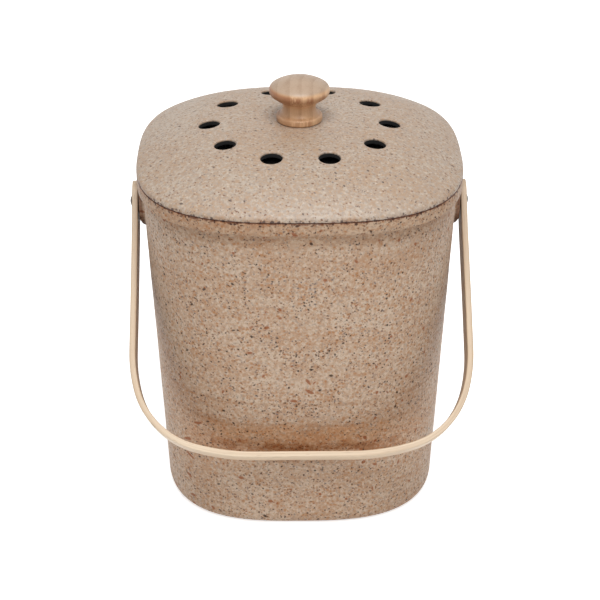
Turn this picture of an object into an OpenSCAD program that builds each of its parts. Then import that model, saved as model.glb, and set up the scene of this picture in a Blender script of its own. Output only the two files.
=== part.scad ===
// Countertop compost caddy: a tapered bin, a lift-off vented lid with a turned wooden knob,
// a charcoal filter held in a tray under the lid, and a bent strip bail on two pivot screws.
// Millimetres, +Z up. The origin is the middle of the flat base. The bail hangs towards -Y.

/* [Bin] */
// Width of the body across its straight wall at the base
base_w = 164.8; // [150:0.2:176]
// Depth of the body across its straight wall at the base
base_d = 163.2; // [150:0.2:176]
// Squareness of the plan at the base: 2 is an ellipse, 4 is nearly a square
base_square = 2.9; // [2.4:0.1:3.4]
// Radius of the rolled edge round the base
base_r = 6.9; // [4:0.1:10]
// Height of the seam between the bin and the lid
seam_z = 206.8; // [180:0.2:230]
// Thickness of the bin's wall
wall = 3.2; // [2.4:0.1:4]
// Thickness of the bin's floor
floor_t = 3.6; // [2.6:0.1:5]
// Radius where the wall runs into the floor inside
floor_r = 3.7; // [3:0.1:9]
// Squareness of the wall's plan under the rim
wall_square = 2.53; // [2.3:0.01:3]

/* [Rim] */
// Width over the rim, which is the lid's width too
rim_w = 189.6; // [184:0.2:200]
// Depth over the rim, which is the lid's depth too
rim_d = 189.6; // [184:0.2:200]
// Squareness of the rim's plan, which is the lid's too
rim_square = 2.83; // [2.5:0.01:3.2]
// How far the rim band stands proud of the wall
rim_step = 2; // [1.2:0.1:3]
// Height of the rim band
rim_h = 8.4; // [6:0.2:12]
// Height of the soft slope under the rim band
rim_slope_h = 2.2; // [1:0.1:4]
// Roll of the two edges that meet at the seam
seam_roll = 0.5; // [0.2:0.1:1]

/* [Lid] */
// Height of the lid's flat top above the seam
lid_rise = 21.9; // [18:0.1:27]
// Radius of the lid's outer edge
lid_edge_r = 5; // [3:0.1:7]
// How far the outer edge rolls over before the dome takes over, degrees
lid_edge_turn = 56; // [50:1:62]
// Thickness of the lid
lid_t = 3.6; // [2.8:0.1:4.4]
// Half the width of the lid's flat centre, where the knob sits
lid_flat = 15; // [14:0.5:20]
// Depth of the locating skirt below the seam
skirt_h = 9.6; // [6:0.2:14]
// Thickness of the locating skirt
skirt_t = 2.6; // [2:0.1:3.4]
// Clearance between the skirt and the inside of the bin
skirt_gap = 1.1; // [0.6:0.1:1.8]
// Gap left at the seam under the closed lid
seam_gap = 0.2; // [0.1:0.1:0.6]

/* [Vents] */
// Number of vent holes
vent_count = 10; // [6:1:12]
// Diameter of a vent hole
vent_d = 12.5; // [8:0.5:13]
// Radius of the ring of vent holes
vent_ring_r = 52.5; // [46:0.5:54]

/* [Knob] */
// Diameter of the knob's head
knob_d = 35.2; // [32:0.2:40]
// Height of the knob
knob_h = 26.2; // [25.6:0.2:29]
// Height of the knob's widest ring above its base
knob_wide_z = 18.8; // [18:0.1:19.4]
// Radius of the head's rounded edge
knob_edge_r = 4; // [3.2:0.1:5]
// Slope of the head's underside, degrees
knob_slope = 34; // [30:1:37]
// Diameter of the knob's base
knob_base_d = 26.6; // [25:0.2:27.8]
// Height of the knob's base drum
knob_base_h = 3.7; // [2.6:0.1:4.2]
// Diameter of the knob's neck
knob_neck_d = 19; // [17:0.2:20]
// Radius where the neck runs into the head
knob_fillet_r = 1.5; // [1:0.1:2]
// Radius of the base drum's edges
knob_base_edge = 0.6; // [0.3:0.1:0.9]
// Diameter of the threaded insert in the knob
insert_d = 6; // [5.4:0.1:7]
// Length of the threaded insert
insert_len = 10; // [8:0.5:11.5]
// Depth of the knob's hole past the insert
insert_room = 2; // [1:0.5:4]

/* [Filter] */
// Diameter of the charcoal filter
filter_d = 123.2; // [121:0.2:126]
// Thickness of the charcoal filter
filter_t = 9; // [6:0.5:10]
// Clearance round the filter in its tray
filter_gap = 0.5; // [0.3:0.1:1]
// Air gap between the filter and the knob screw's head
filter_air = 3.5; // [2:0.5:5]
// Thickness of the tray's rim wall
tray_wall = 1.6; // [1.2:0.1:2]
// Height of the tray's rim wall
tray_h = 7; // [5:0.5:8]
// Thickness of the tray's floor and flange
tray_t = 2; // [1.6:0.1:2.6]
// Clearance between the tray's wall and the lid's collar
tray_gap = 0.3; // [0.2:0.1:0.5]
// Thickness of the collar under the lid
collar_t = 2.5; // [2:0.1:3]
// Width of a slot in the tray
slot_w = 3.4; // [2.6:0.1:4]
// Inner and outer reach of the inner ring of slots
slot_inner = [13, 29]; // [10:1:30]
// Inner and outer reach of the outer ring of slots
slot_outer = [35, 55]; // [34:1:56]
// Slots in the inner ring, and half those in the outer ring
slot_count = 12; // [8:1:14]

/* [Pivots] */
// Depth of the bail's pivots below the seam
pivot_drop = 29.3; // [27:0.1:38]
// Radius of the ear's round lower end about the pivot
ear_r = 14.3; // [12:0.1:16]
// How far the ear's face stays inside the rim
ear_inset = 0.5; // [0.3:0.1:1]
// Radius of the flat pad inside the bin
pad_r = 7; // [6:0.5:8]
// How far the pad stands clear of the wall
pad_proud = 0.3; // [0.2:0.1:1]
// Diameter of the pivot screw's shank
screw_d = 4; // [3.6:0.1:4.4]
// Radial clearance between a screw and a hole
screw_gap = 0.05; // [0.03:0.01:0.1]
// Diameter of the pivot screw's domed head
head_d = 7.8; // [7:0.1:10]
// Height of the pivot screw's domed head
head_h = 1.5; // [1.2:0.1:2.2]
// Diameter of the spacer washer between the ear and the bail
spacer_d = 12.6; // [11:0.2:15]
// Thickness of the spacer washer
spacer_t = 0.8; // [0.7:0.1:1.6]
// Play on each side of the bail's arm
arm_play = 0.1; // [0.05:0.05:0.2]
// Diameter of the flat washers inside the bin and under the lid
washer_d = 10; // [9:0.2:11.4]
// Thickness of those flat washers
washer_t = 1; // [0.8:0.1:1.4]
// Width of the cap nut across its flats
nut_af = 7; // [6.6:0.1:8]
// Height of the cap nut's hexagon
nut_h = 3.2; // [2.8:0.1:4]
// Radius of the cap nut's dome
nut_dome_r = 3.2; // [3:0.1:3.3]

/* [Bail] */
// Width of the bail's strip
bail_w = 20; // [15:0.5:22]
// Thickness of the bail's strip
bail_t = 3.6; // [2.8:0.1:4.2]
// Reach from the pivots to the outside of the bail's grip
bail_reach = 154; // [150:0.5:165]
// Length of each arm past its pivot
arm_end = 12; // [11:0.5:13]
// Length of the arm's straight pad below the pivot
arm_pad = 15; // [10:1:20]
// Outward lean of the arms below the pad, degrees
arm_lean = 0.9; // [0.5:0.1:2]
// Radius of the slight bend where the arms start to lean
lean_r = 250; // [150:10:400]
// Outer radius of the upper bend at each corner
upper_bend_r = 88; // [80:1:100]
// Turn of the upper bend, measured from straight down, degrees
upper_turn = 15; // [10:1:24]
// Outer radius of the lower bend at each corner
lower_bend_r = 48; // [42:1:54]
// Turn at which the lower bend runs into the grip's bow, degrees
lower_turn = 74; // [68:1:80]
// Outer radius of the grip's bow
bow_r = 130; // [110:5:160]
// Gap between the hanging bail and the front of the bin
rest_gap = 0.5; // [0.3:0.1:1]

/* [Knob screw] */
// Diameter of the knob screw's head
pan_d = 8; // [7:0.2:9]
// Height of the knob screw's head
pan_h = 2.6; // [2:0.1:3]
// Clearance round the knob screw where it passes the lid
lid_hole_gap = 0.3; // [0.1:0.05:0.5]
// Thread length left free at the tip of the knob screw
tip_room = 1; // [0.5:0.5:2]

/* [Hidden] */

// Points round one ring of a lofted shell, and steps along its rounded edges
sides = 80;
roll_steps = 4;
wall_steps = 4;
// Steps round one bend of the bail
bend_steps = 12;
$fn = 64;
// Small overlap of one solid into the next where they are one piece
lap = 1;
// Where a vent's circle starts, clear of the shell's own edges, degrees
vent_start = 29;

// Wall at the height where it would meet the seam
wall_top_w = rim_w - 2 * rim_step;
wall_top_d = rim_d - 2 * rim_step;
// Foot of the rim band
band_z = seam_z - rim_h;

// Lid
skirt_hw = half_w(seam_z - skirt_h) - wall - skirt_gap;
skirt_hd = half_d(seam_z - skirt_h) - wall - skirt_gap;
edge_in = lid_edge_r * (1 - cos(lid_edge_turn));
edge_up = lid_edge_r * sin(lid_edge_turn);
dome_hw = rim_w / 2 - edge_in;
dome_hd = rim_d / 2 - edge_in;
dome_h = lid_rise - edge_up;
// The dome leaves the rolled edge on the same slope
dome_power = tan(90 - lid_edge_turn) * dome_hw / dome_h;
// Share of the dome's fall that lies inside its flat centre
flat_fall = pow(lid_flat / dome_hw, dome_power);
lid_top_z = seam_z + lid_rise;
lid_under_z = lid_top_z - lid_t;
dome_shares = [1, 0.96, 0.91, 0.85, 0.77, 0.68, 0.57, 0.44, 0.3, lid_flat / dome_hw];

// Knob screw and filter, from the lid's underside down
pan_z = lid_under_z - washer_t - pan_h;
filter_z = pan_z - filter_air - filter_t;
tray_r = filter_d / 2 + filter_gap + tray_wall;
collar_in_r = tray_r + tray_gap;
collar_out_r = collar_in_r + collar_t;
collar_top_z = under_z(collar_out_r / dome_hw) + lid_t / 2;

// Pivot stack on the +X side, from the bin's inside out
pivot_z = seam_z - pivot_drop;
screw_r = screw_d / 2;
hole_r = screw_r + screw_gap;
pad_x = half_w(pivot_z - pad_r) - wall - pad_proud;
ear_x = rim_w / 2 - ear_inset;
ear_root_x = half_w(pivot_z) - wall / 2;
arm_x = ear_x + spacer_t + arm_play;
head_x = arm_x + bail_t + arm_play;
nut_x = pad_x - washer_t;
nut_depth = nut_h + 1;

// Bail, as a flat path on the middle of its strip: x across, v down from the pivot
path_x = arm_x + bail_t / 2;
upper_r = upper_bend_r - bail_t / 2;
lower_r = lower_bend_r - bail_t / 2;
grip_r = bow_r - bail_t / 2;
bend_drop = upper_r * (sin(arm_lean) + sin(upper_turn)) + lower_r * (sin(lower_turn) - sin(upper_turn))
    + grip_r * (1 - sin(lower_turn));
lean_drop = lean_r * sin(arm_lean);
lean_run = (bail_reach - bail_t / 2 - arm_pad - lean_drop - bend_drop) / cos(arm_lean);
lean_end = [path_x + lean_r * (1 - cos(arm_lean)), arm_pad + lean_drop];
run_end = lean_end + lean_run * [sin(arm_lean), cos(arm_lean)];
upper_c = run_end + upper_r * [-cos(arm_lean), sin(arm_lean)];
lower_c = upper_c + (upper_r - lower_r) * [cos(upper_turn), sin(upper_turn)];
grip_c = lower_c + (lower_r - grip_r) * [cos(lower_turn), sin(lower_turn)];

// The bail swings down until its inner back edge meets the tapered front wall, less rest_gap
taper = (wall_top_d - base_d) / 2 / (seam_z - base_r);
rest_a = bail_reach - bail_t + taper * bail_w / 2;
rest_c = bail_w / 2 - taper * (bail_reach - bail_t);
rest_e = half_d(pivot_z) + rest_gap;
rest_angle = asin(rest_e / norm([rest_a, rest_c])) + atan2(rest_c, rest_a);

// Share of the way up the wall, and the wall's half width, half depth and squareness there
function up(z) = (z - base_r) / (seam_z - base_r);
function mix(a, b, t) = a + (b - a) * t;
function half_w(z) = mix(base_w, wall_top_w, up(z)) / 2;
function half_d(z) = mix(base_d, wall_top_d, up(z)) / 2;
function square_at(z) = mix(base_square, wall_square, up(z));

// Height of the dome and of its underside at a share of its half width
function dome_z(q) =
    seam_z + edge_up + dome_h * (1 - (pow(q, dome_power) - flat_fall) / (1 - flat_fall));
function under_z(q) = dome_z(q) - lid_t;
// The dome's rings turn from the rim's plan into circles towards the middle
function dome_square(q) = mix(2, rim_square, q);

// One ring: a rounded square of half width hw and half depth hd at height z
function ring(hw, hd, square, z) = [for (i = [0:sides - 1])
    let (t = 360 * i / sides,
         r = pow(pow(abs(cos(t)) / hw, square) + pow(abs(sin(t)) / hd, square), -1 / square))
    [r * cos(t), r * sin(t), z]];
// A ring of the outer wall, set in by some distance
function wall_ring(z, inset = 0) = ring(half_w(z) - inset, half_d(z) - inset, square_at(z), z);
function rim_ring(z, inset = 0) = ring(rim_w / 2 - inset, rim_d / 2 - inset, rim_square, z);
function skirt_ring(z, inset = 0) = ring(skirt_hw - inset, skirt_hd - inset, wall_square, z);
// Points of an arc about c from angle a to angle b
function arc(c, r, a, b, steps) = [for (i = [0:steps])
    let (t = mix(a, b, i / steps)) c + r * [cos(t), sin(t)]];

// A closed shell through rings that run from its lowest face, round its outside, to its last face
module loft(rings) {
    last = len(rings) - 1;
    points = [for (r = rings) each r];
    first_face = [[for (i = [0:sides - 1]) i]];
    last_face = [[for (i = [sides - 1:-1:0]) last * sides + i]];
    bands = [for (k = [0:last - 1]) for (i = [0:sides - 1])
        let (j = (i + 1) % sides, a = k * sides, b = a + sides)
        each [[a + i, b + i, b + j], [a + i, b + j, a + j]]];
    polyhedron(points = points, faces = concat(first_face, bands, last_face));
}

// What is on the +X side, and its mirror image on the -X side
module side(left) mirror([left ? 1 : 0, 0, 0]) children();
// A cylinder along +X from x0 to x1 on the pivot's axis
module pivot_rod(x0, x1, r) translate([x0, 0, pivot_z]) rotate([0, 90, 0]) cylinder(h = x1 - x0, r = r);
module pivot_ring(x0, x1, r) difference() {
    pivot_rod(x0, x1, r);
    pivot_rod(x0 - lap, x1 + lap, hole_r);
}

// Outer wall, rim band and inner wall in one loft
module bin_shell() loft(concat(
    [for (i = [0:roll_steps]) let (a = 90 * i / roll_steps, inset = base_r * (1 - sin(a)))
        ring(base_w / 2 - inset, base_d / 2 - inset, base_square, base_r * (1 - cos(a)))],
    [for (i = [1:wall_steps]) wall_ring(mix(base_r, band_z - rim_slope_h, i / wall_steps))],
    [rim_ring(band_z - rim_slope_h / 3, rim_step / 2), rim_ring(band_z + rim_slope_h / 3),
     rim_ring(seam_z - seam_roll), rim_ring(seam_z, seam_roll)],
    [for (i = [wall_steps:-1:0]) wall_ring(mix(floor_t + floor_r, seam_z, i / wall_steps), wall)],
    [for (i = [1:roll_steps]) let (a = 90 * i / roll_steps)
        wall_ring(floor_t + floor_r * (1 - sin(a)), wall + floor_r * (1 - cos(a)))]));

// Ear that carries one pivot: a flat tongue that runs up into the rim band, with a pad inside
module ear() {
    translate([ear_root_x, 0, 0]) rotate([90, 0, 90]) linear_extrude(ear_x - ear_root_x) {
        translate([0, pivot_z]) circle(r = ear_r);
        translate([-ear_r, pivot_z]) square([2 * ear_r, band_z + lap - pivot_z]);
    }
    pivot_rod(pad_x, ear_root_x + lap / 2, pad_r);
}

module bin_body() color([0.74, 0.62, 0.52]) difference() {
    union() {
        bin_shell();
        for (left = [false, true]) side(left) ear();
    }
    for (left = [false, true]) side(left) pivot_rod(pad_x - lap, ear_x + lap, hole_r);
}

// Domed top, rolled edge and locating skirt in one loft, from the underside out to the top
module lid_shell() loft(concat(
    [for (i = [len(dome_shares) - 1:-1:2]) let (q = dome_shares[i])
        if (q * dome_hw < skirt_hw - skirt_t - lap)
            ring(q * dome_hw, q * dome_hd, dome_square(q), under_z(q))],
    [skirt_ring(under_z((skirt_hw - skirt_t) / dome_hw), skirt_t),
     skirt_ring(seam_z - skirt_h, skirt_t), skirt_ring(seam_z - skirt_h),
     skirt_ring(seam_z + seam_gap), rim_ring(seam_z + seam_gap, seam_roll)],
    [for (i = [0:roll_steps]) let (a = lid_edge_turn * i / roll_steps)
        rim_ring(seam_z + mix(seam_gap + seam_roll, edge_up, sin(a) / sin(lid_edge_turn)),
                 lid_edge_r * (1 - cos(a)))],
    [for (i = [1:len(dome_shares) - 1]) let (q = dome_shares[i])
        ring(q * dome_hw, q * dome_hd, dome_square(q), dome_z(q))]));

module lid() color([0.8, 0.7, 0.6]) difference() {
    union() {
        lid_shell();
        translate([0, 0, filter_z]) difference() {
            cylinder(h = collar_top_z - filter_z, r = collar_out_r);
            translate([0, 0, -lap]) cylinder(h = collar_top_z - filter_z + 2 * lap, r = collar_in_r);
        }
    }
    for (i = [0:vent_count - 1]) let (a = 360 * (i + 0.5) / vent_count - 90)
        translate([vent_ring_r * cos(a), vent_ring_r * sin(a), lid_under_z - lid_rise])
            rotate([0, 0, vent_start]) cylinder(h = 2 * lid_rise, d = vent_d);
    translate([0, 0, lid_under_z - lap]) cylinder(h = lid_t + 2 * lap, r = screw_r + lid_hole_gap);
}

// Turned outline: base drum, cove, neck, sloping underside, rounded edge and shallow dome
module knob_outline() {
    base = knob_base_d / 2;
    neck = knob_neck_d / 2;
    cove = base - knob_base_edge - neck;
    edge_c = [knob_d / 2 - knob_edge_r, knob_wide_z];
    slope_end = edge_c + knob_edge_r * [sin(knob_slope), -cos(knob_slope)];
    fillet_x = neck + knob_fillet_r * (1 - sin(knob_slope));
    fillet_z = slope_end.y - (slope_end.x - fillet_x) * tan(knob_slope) - knob_fillet_r * cos(knob_slope);
    rise = knob_h - edge_c.y;
    dome_r = (edge_c.x * edge_c.x + rise * rise - knob_edge_r * knob_edge_r) / 2 / (rise - knob_edge_r);
    dome_turn = asin(edge_c.x / (dome_r - knob_edge_r));
    polygon(concat(
        [[0, 0]],
        arc([base - knob_base_edge, knob_base_edge], knob_base_edge, -90, 0, 3),
        arc([base - knob_base_edge, knob_base_h - knob_base_edge], knob_base_edge, 0, 90, 3),
        arc([neck + cove, knob_base_h + cove], cove, 260, 180, 6),
        arc([neck + knob_fillet_r, fillet_z], knob_fillet_r, 180, 90 + knob_slope, 3),
        arc(edge_c, knob_edge_r, knob_slope - 90, 90 - dome_turn, 10),
        arc([0, knob_h - dome_r], dome_r, 90 - dome_turn * 0.9, 90, 7)));
}

module knob() color([0.78, 0.6, 0.42]) translate([0, 0, lid_top_z]) difference() {
    rotate_extrude() knob_outline();
    translate([0, 0, -lap]) cylinder(h = insert_len + insert_room + lap, r = insert_d / 2 + screw_gap);
}

module knob_insert() color([0.8, 0.65, 0.3]) translate([0, 0, lid_top_z]) difference() {
    cylinder(h = insert_len, d = insert_d);
    translate([0, 0, -lap]) cylinder(h = insert_len + 2 * lap, r = hole_r);
}

// Pan-head screw up through the lid into the knob
module knob_screw() color([0.62, 0.62, 0.64]) {
    pan_cut = pan_h / 3;
    tip = lid_top_z + insert_len - tip_room - pan_z;
    translate([0, 0, pan_z]) rotate_extrude() polygon([[0, 0], [pan_d / 2 - pan_cut, 0],
        [pan_d / 2, pan_cut], [pan_d / 2, pan_h], [screw_r, pan_h], [screw_r, tip], [0, tip]]);
}

module knob_washer() color([0.62, 0.62, 0.64]) translate([0, 0, lid_under_z - washer_t]) difference() {
    cylinder(h = washer_t, d = washer_d);
    translate([0, 0, -lap]) cylinder(h = washer_t + 2 * lap, r = hole_r);
}

module charcoal_filter() color([0.12, 0.12, 0.13])
    translate([0, 0, filter_z]) cylinder(h = filter_t, d = filter_d, $fn = 96);

// One radial slot with round ends, from one radius to another
module slot(reach) {
    translate([reach[0], -slot_w / 2, -lap]) cube([reach[1] - reach[0], slot_w, tray_t + 2 * lap]);
    for (r = reach) translate([r, 0, -lap]) cylinder(h = tray_t + 2 * lap, d = slot_w, $fn = 24);
}

// Slotted tray that pushes up into the lid's collar until its flange meets the collar's end
module filter_tray() color([0.25, 0.22, 0.2]) translate([0, 0, filter_z - tray_t]) difference() {
    union() {
        cylinder(h = tray_t, r = collar_out_r, $fn = 96);
        translate([0, 0, tray_t]) difference() {
            cylinder(h = tray_h, r = tray_r, $fn = 96);
            translate([0, 0, -lap / 2]) cylinder(h = tray_h + lap, r = tray_r - tray_wall, $fn = 96);
        }
    }
    for (i = [0:slot_count - 1]) rotate([0, 0, 360 * i / slot_count]) slot(slot_inner);
    for (i = [0:2 * slot_count - 1]) rotate([0, 0, 180 * (i + 0.5) / slot_count]) slot(slot_outer);
}

// One side of the strip laid flat, from the arm's end to the middle of the grip, off is outwards
function strip_edge(off) = concat(
    [[path_x + off, -arm_end]],
    arc([path_x + lean_r, arm_pad], lean_r - off, 180, 180 - arm_lean, 3),
    arc(upper_c, upper_r + off, -arm_lean, upper_turn, bend_steps / 3),
    arc(lower_c, lower_r + off, upper_turn, lower_turn, bend_steps),
    arc(grip_c, grip_r + off, lower_turn, 90, bend_steps / 3));
function mirrored(points) = [for (i = [len(points) - 1:-1:0]) [-points[i].x, points[i].y]];

// The strip bent flat in one piece, with its arm ends rounded across their width
module bail_flat() intersection() {
    outer = strip_edge(bail_t / 2);
    inner = strip_edge(-bail_t / 2);
    back = [for (i = [len(inner) - 1:-1:0]) inner[i]];
    linear_extrude(bail_w, center = true) polygon(concat(outer, mirrored(outer), mirrored(back), back));
    rotate([90, 0, 90]) linear_extrude(4 * bail_reach, center = true) {
        translate([bail_w / 2 - arm_end, 0]) circle(d = bail_w);
        translate([bail_w / 2 - arm_end, -bail_w]) square([2 * bail_reach, 2 * bail_w]);
    }
}

module bail() color([0.9, 0.8, 0.65]) difference() {
    translate([0, 0, pivot_z]) rotate([-90 - rest_angle, 0, 0]) bail_flat();
    for (left = [false, true]) side(left) pivot_rod(arm_x - lap, arm_x + bail_t + lap, hole_r);
}

// Screw with a low domed head outside the arm and its shank in the cap nut
module pivot_screw() color([0.3, 0.27, 0.24]) {
    dome_r = (head_d * head_d / 4 + head_h * head_h) / 2 / head_h;
    dome_turn = asin(head_d / 2 / dome_r);
    shank = head_x - nut_x + nut_depth - tip_room;
    translate([head_x, 0, pivot_z]) rotate([0, 90, 0]) rotate_extrude() polygon(concat(
        [[0, -shank], [screw_r, -shank], [screw_r, 0]],
        arc([0, head_h - dome_r], dome_r, 90 - dome_turn, 90, 6)));
}
module spacer_washer() color([0.16, 0.14, 0.13]) pivot_ring(ear_x, ear_x + spacer_t, spacer_d / 2);
module inner_washer() color([0.62, 0.62, 0.64]) pivot_ring(pad_x - washer_t, pad_x, washer_d / 2);
module cap_nut() color([0.62, 0.62, 0.64]) difference() {
    union() {
        translate([nut_x, 0, pivot_z]) rotate([0, -90, 0]) cylinder(h = nut_h, d = nut_af / cos(30), $fn = 6);
        translate([nut_x - nut_h, 0, pivot_z]) intersection() {
            sphere(r = nut_dome_r);
            translate([-nut_dome_r, 0, 0]) rotate([0, 90, 0]) cylinder(h = nut_dome_r + lap, r = nut_dome_r + lap);
        }
    }
    pivot_rod(nut_x - nut_depth, nut_x + lap, hole_r);
}

bin_body();
lid();
knob();
knob_insert();
knob_screw();
knob_washer();
charcoal_filter();
filter_tray();
bail();
side(true) pivot_screw();  // pivot_screw_left
side(false) pivot_screw();  // pivot_screw_right
side(true) spacer_washer();  // spacer_washer_left
side(false) spacer_washer();  // spacer_washer_right
side(true) inner_washer();  // inner_washer_left
side(false) inner_washer();  // inner_washer_right
side(true) cap_nut();  // cap_nut_left
side(false) cap_nut();  // cap_nut_right
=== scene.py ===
"""Countertop compost caddy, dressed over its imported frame.

A tapered bin and a domed, vented lid in speckled bamboo-fibre composite, a turned beech knob,
a bent bamboo bail on two pivot screws, and a charcoal filter in its tray under the lid.
Metres, +Z up, in the frame of the construction: the origin is the middle of the flat base and
the bail hangs towards -Y.
"""

from __future__ import annotations

import logging
import math
from abc import ABC, abstractmethod
from collections.abc import Mapping, Sequence
from dataclasses import dataclass
from enum import Enum
from typing import Any

import bmesh
import bpy
import numpy as np
from mathutils import Matrix, Vector

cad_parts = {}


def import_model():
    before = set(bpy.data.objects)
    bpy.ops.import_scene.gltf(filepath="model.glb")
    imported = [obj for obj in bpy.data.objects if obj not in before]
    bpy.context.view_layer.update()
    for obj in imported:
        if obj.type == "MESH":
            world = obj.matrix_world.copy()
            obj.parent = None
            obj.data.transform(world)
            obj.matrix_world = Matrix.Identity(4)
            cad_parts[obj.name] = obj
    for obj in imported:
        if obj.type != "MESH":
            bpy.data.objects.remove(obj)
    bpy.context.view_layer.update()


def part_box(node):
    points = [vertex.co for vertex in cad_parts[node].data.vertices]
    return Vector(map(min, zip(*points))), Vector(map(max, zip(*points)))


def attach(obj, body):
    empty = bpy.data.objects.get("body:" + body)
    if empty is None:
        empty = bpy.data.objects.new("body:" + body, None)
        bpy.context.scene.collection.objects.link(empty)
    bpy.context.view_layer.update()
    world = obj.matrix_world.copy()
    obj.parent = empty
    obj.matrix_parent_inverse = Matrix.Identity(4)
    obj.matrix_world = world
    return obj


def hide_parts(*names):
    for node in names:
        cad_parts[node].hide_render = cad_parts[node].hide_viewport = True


LOG = logging.getLogger("compost_caddy")

MM = 0.001
SEED = 7
FULL_TURN = 2 * math.pi
AXIS_R = 0.002 * MM

Flat = tuple[float, float]
Point = tuple[float, float, float]
Corner = tuple[float, float, float]
Colour = tuple[float, float, float]


class Body(str, Enum):
    """The frame's bodies, which the pieces ride on."""

    BIN = "bin"
    LID = "lid_set"
    FILTER = "filter_set"
    BAIL = "bail_strip"


class Side(Enum):
    """The two sides that carry the bail's pivots, by their sign along X."""

    LEFT = -1
    RIGHT = 1

    @property
    def word(self) -> str:
        """The side as the nodes' names say it."""
        return self.name.lower()


def srgb(red: int, green: int, blue: int) -> Colour:
    """Turn a colour written as display values, 0 to 255, into linear light.

    Args:
        red: Red.
        green: Green.
        blue: Blue.

    Returns:
        The linear colour.
    """

    def linear(value: int) -> float:
        """One channel in linear light."""
        share = value / 255
        return share / 12.92 if share <= 0.04045 else ((share + 0.055) / 1.055) ** 2.4

    return linear(red), linear(green), linear(blue)


# ------------------------------------------------------------------------------ node trees


class Sock:
    """An output socket whose arithmetic adds Math nodes to its tree."""

    def __init__(self, nodes: Nodes, socket: bpy.types.NodeSocket) -> None:
        """Hold an output socket and the tree that it is in."""
        self.nodes = nodes
        self.socket = socket

    def of(self, output: str) -> Sock:
        """Another output of the same node."""
        return Sock(self.nodes, self.socket.node.outputs[output])

    def xyz(self) -> tuple[Sock, Sock, Sock]:
        """The three coordinates of this vector."""
        first = self.nodes.add("ShaderNodeSeparateXYZ", {}, {"Vector": self})
        return first, first.of("Y"), first.of("Z")

    def math(self, operation: str, *others: Sock | float) -> Sock:
        """Add a Math node with this value as its first input."""
        return self.nodes.math(operation, self, *others)

    def vector(self, operation: str, *others: Sock | Point, out: str = "Vector") -> Sock:
        """Add a Vector Math node with this vector as its first input."""
        sockets = dict(enumerate((self, *others)))
        return self.nodes.add("ShaderNodeVectorMath", {"operation": operation}, sockets, out)

    def __add__(self, other: Sock | float) -> Sock:
        """Sum."""
        return self.math("ADD", other)

    __radd__ = __add__

    def __sub__(self, other: Sock | float) -> Sock:
        """Difference."""
        return self.math("SUBTRACT", other)

    def __rsub__(self, other: Sock | float) -> Sock:
        """Difference, the other way round."""
        return self.nodes.math("SUBTRACT", other, self)

    def __mul__(self, other: Sock | float) -> Sock:
        """Product."""
        return self.math("MULTIPLY", other)

    __rmul__ = __mul__

    def __truediv__(self, other: Sock | float) -> Sock:
        """Quotient."""
        return self.math("DIVIDE", other)

    def __rtruediv__(self, other: Sock | float) -> Sock:
        """Quotient, the other way round."""
        return self.nodes.math("DIVIDE", other, self)

    def __pow__(self, other: float) -> Sock:
        """Power."""
        return self.math("POWER", other)

    def __lt__(self, other: Sock | float) -> Sock:
        """1 where it is less, 0 elsewhere."""
        return self.math("LESS_THAN", other)

    def __abs__(self) -> Sock:
        """Size without sign."""
        return self.math("ABSOLUTE")

    def ramp(self, start: Sock | float, end: Sock | float, low: Sock | float = 0.0,
             high: Sock | float = 1.0) -> Sock:
        """A soft step from low, where this is start, to high, where it is end."""
        sockets = {"Value": self, "From Min": start, "From Max": end, "To Min": low, "To Max": high}
        return self.nodes.add("ShaderNodeMapRange", {"interpolation_type": "SMOOTHSTEP"}, sockets)

    def blend(self, first: Sock | Colour, second: Sock | Colour, mode: str = "MIX") -> Sock:
        """Mix two colours by this factor, from the first at 0 to the second at 1."""
        settings = {"data_type": "RGBA", "blend_type": mode, "clamp_factor": True}
        return self.nodes.add("ShaderNodeMix", settings, {"Factor": self, "A": first, "B": second}, "Result")

    def tint(self, colour: Sock | Colour, by: Colour) -> Sock:
        """Multiply a colour by another where this factor is 1."""
        return self.blend(colour, by, "MULTIPLY")


class Nodes:
    """A node tree under construction."""

    def __init__(self, tree: bpy.types.NodeTree) -> None:
        """Take a tree to build in."""
        self.tree = tree

    def add(self, kind: str, settings: Mapping[str, Any] | None = None,
            sockets: Mapping[str | int, Any] | None = None, out: str | int = 0) -> Sock:
        """Add any node.

        Args:
            kind: The node's type.
            settings: The node's own properties, which are set first.
            sockets: Values or links for its inputs, by name or number.
            out: The output to give back.

        Returns:
            The chosen output.
        """
        node = self.tree.nodes.new(kind)
        for name, value in (settings or {}).items():
            setattr(node, name, value)
        for key, value in (sockets or {}).items():
            self.fill(self._pick(node.inputs, key), value)
        return Sock(self, self._pick(node.outputs, out))

    def math(self, operation: str, *values: Sock | float) -> Sock:
        """Add a Math node with these inputs in order."""
        return self.add("ShaderNodeMath", {"operation": operation}, dict(enumerate(values)))

    def fill(self, socket: bpy.types.NodeSocket, value: Any) -> None:
        """Link or set one input socket.

        Args:
            socket: The input socket.
            value: A Sock to link, or a value.
        """
        if isinstance(value, Sock):
            self.tree.links.new(value.socket, socket)
        elif socket.type == "RGBA":
            socket.default_value = (*value, 1.0)
        else:
            socket.default_value = value

    @staticmethod
    def _pick(sockets: Any, key: str | int) -> bpy.types.NodeSocket:
        """The socket of that number, or the enabled one of that name, as a Mix node has several."""
        if isinstance(key, str):
            return next(s for s in sockets if s.name == key and s.enabled)
        return sockets[key]


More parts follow.
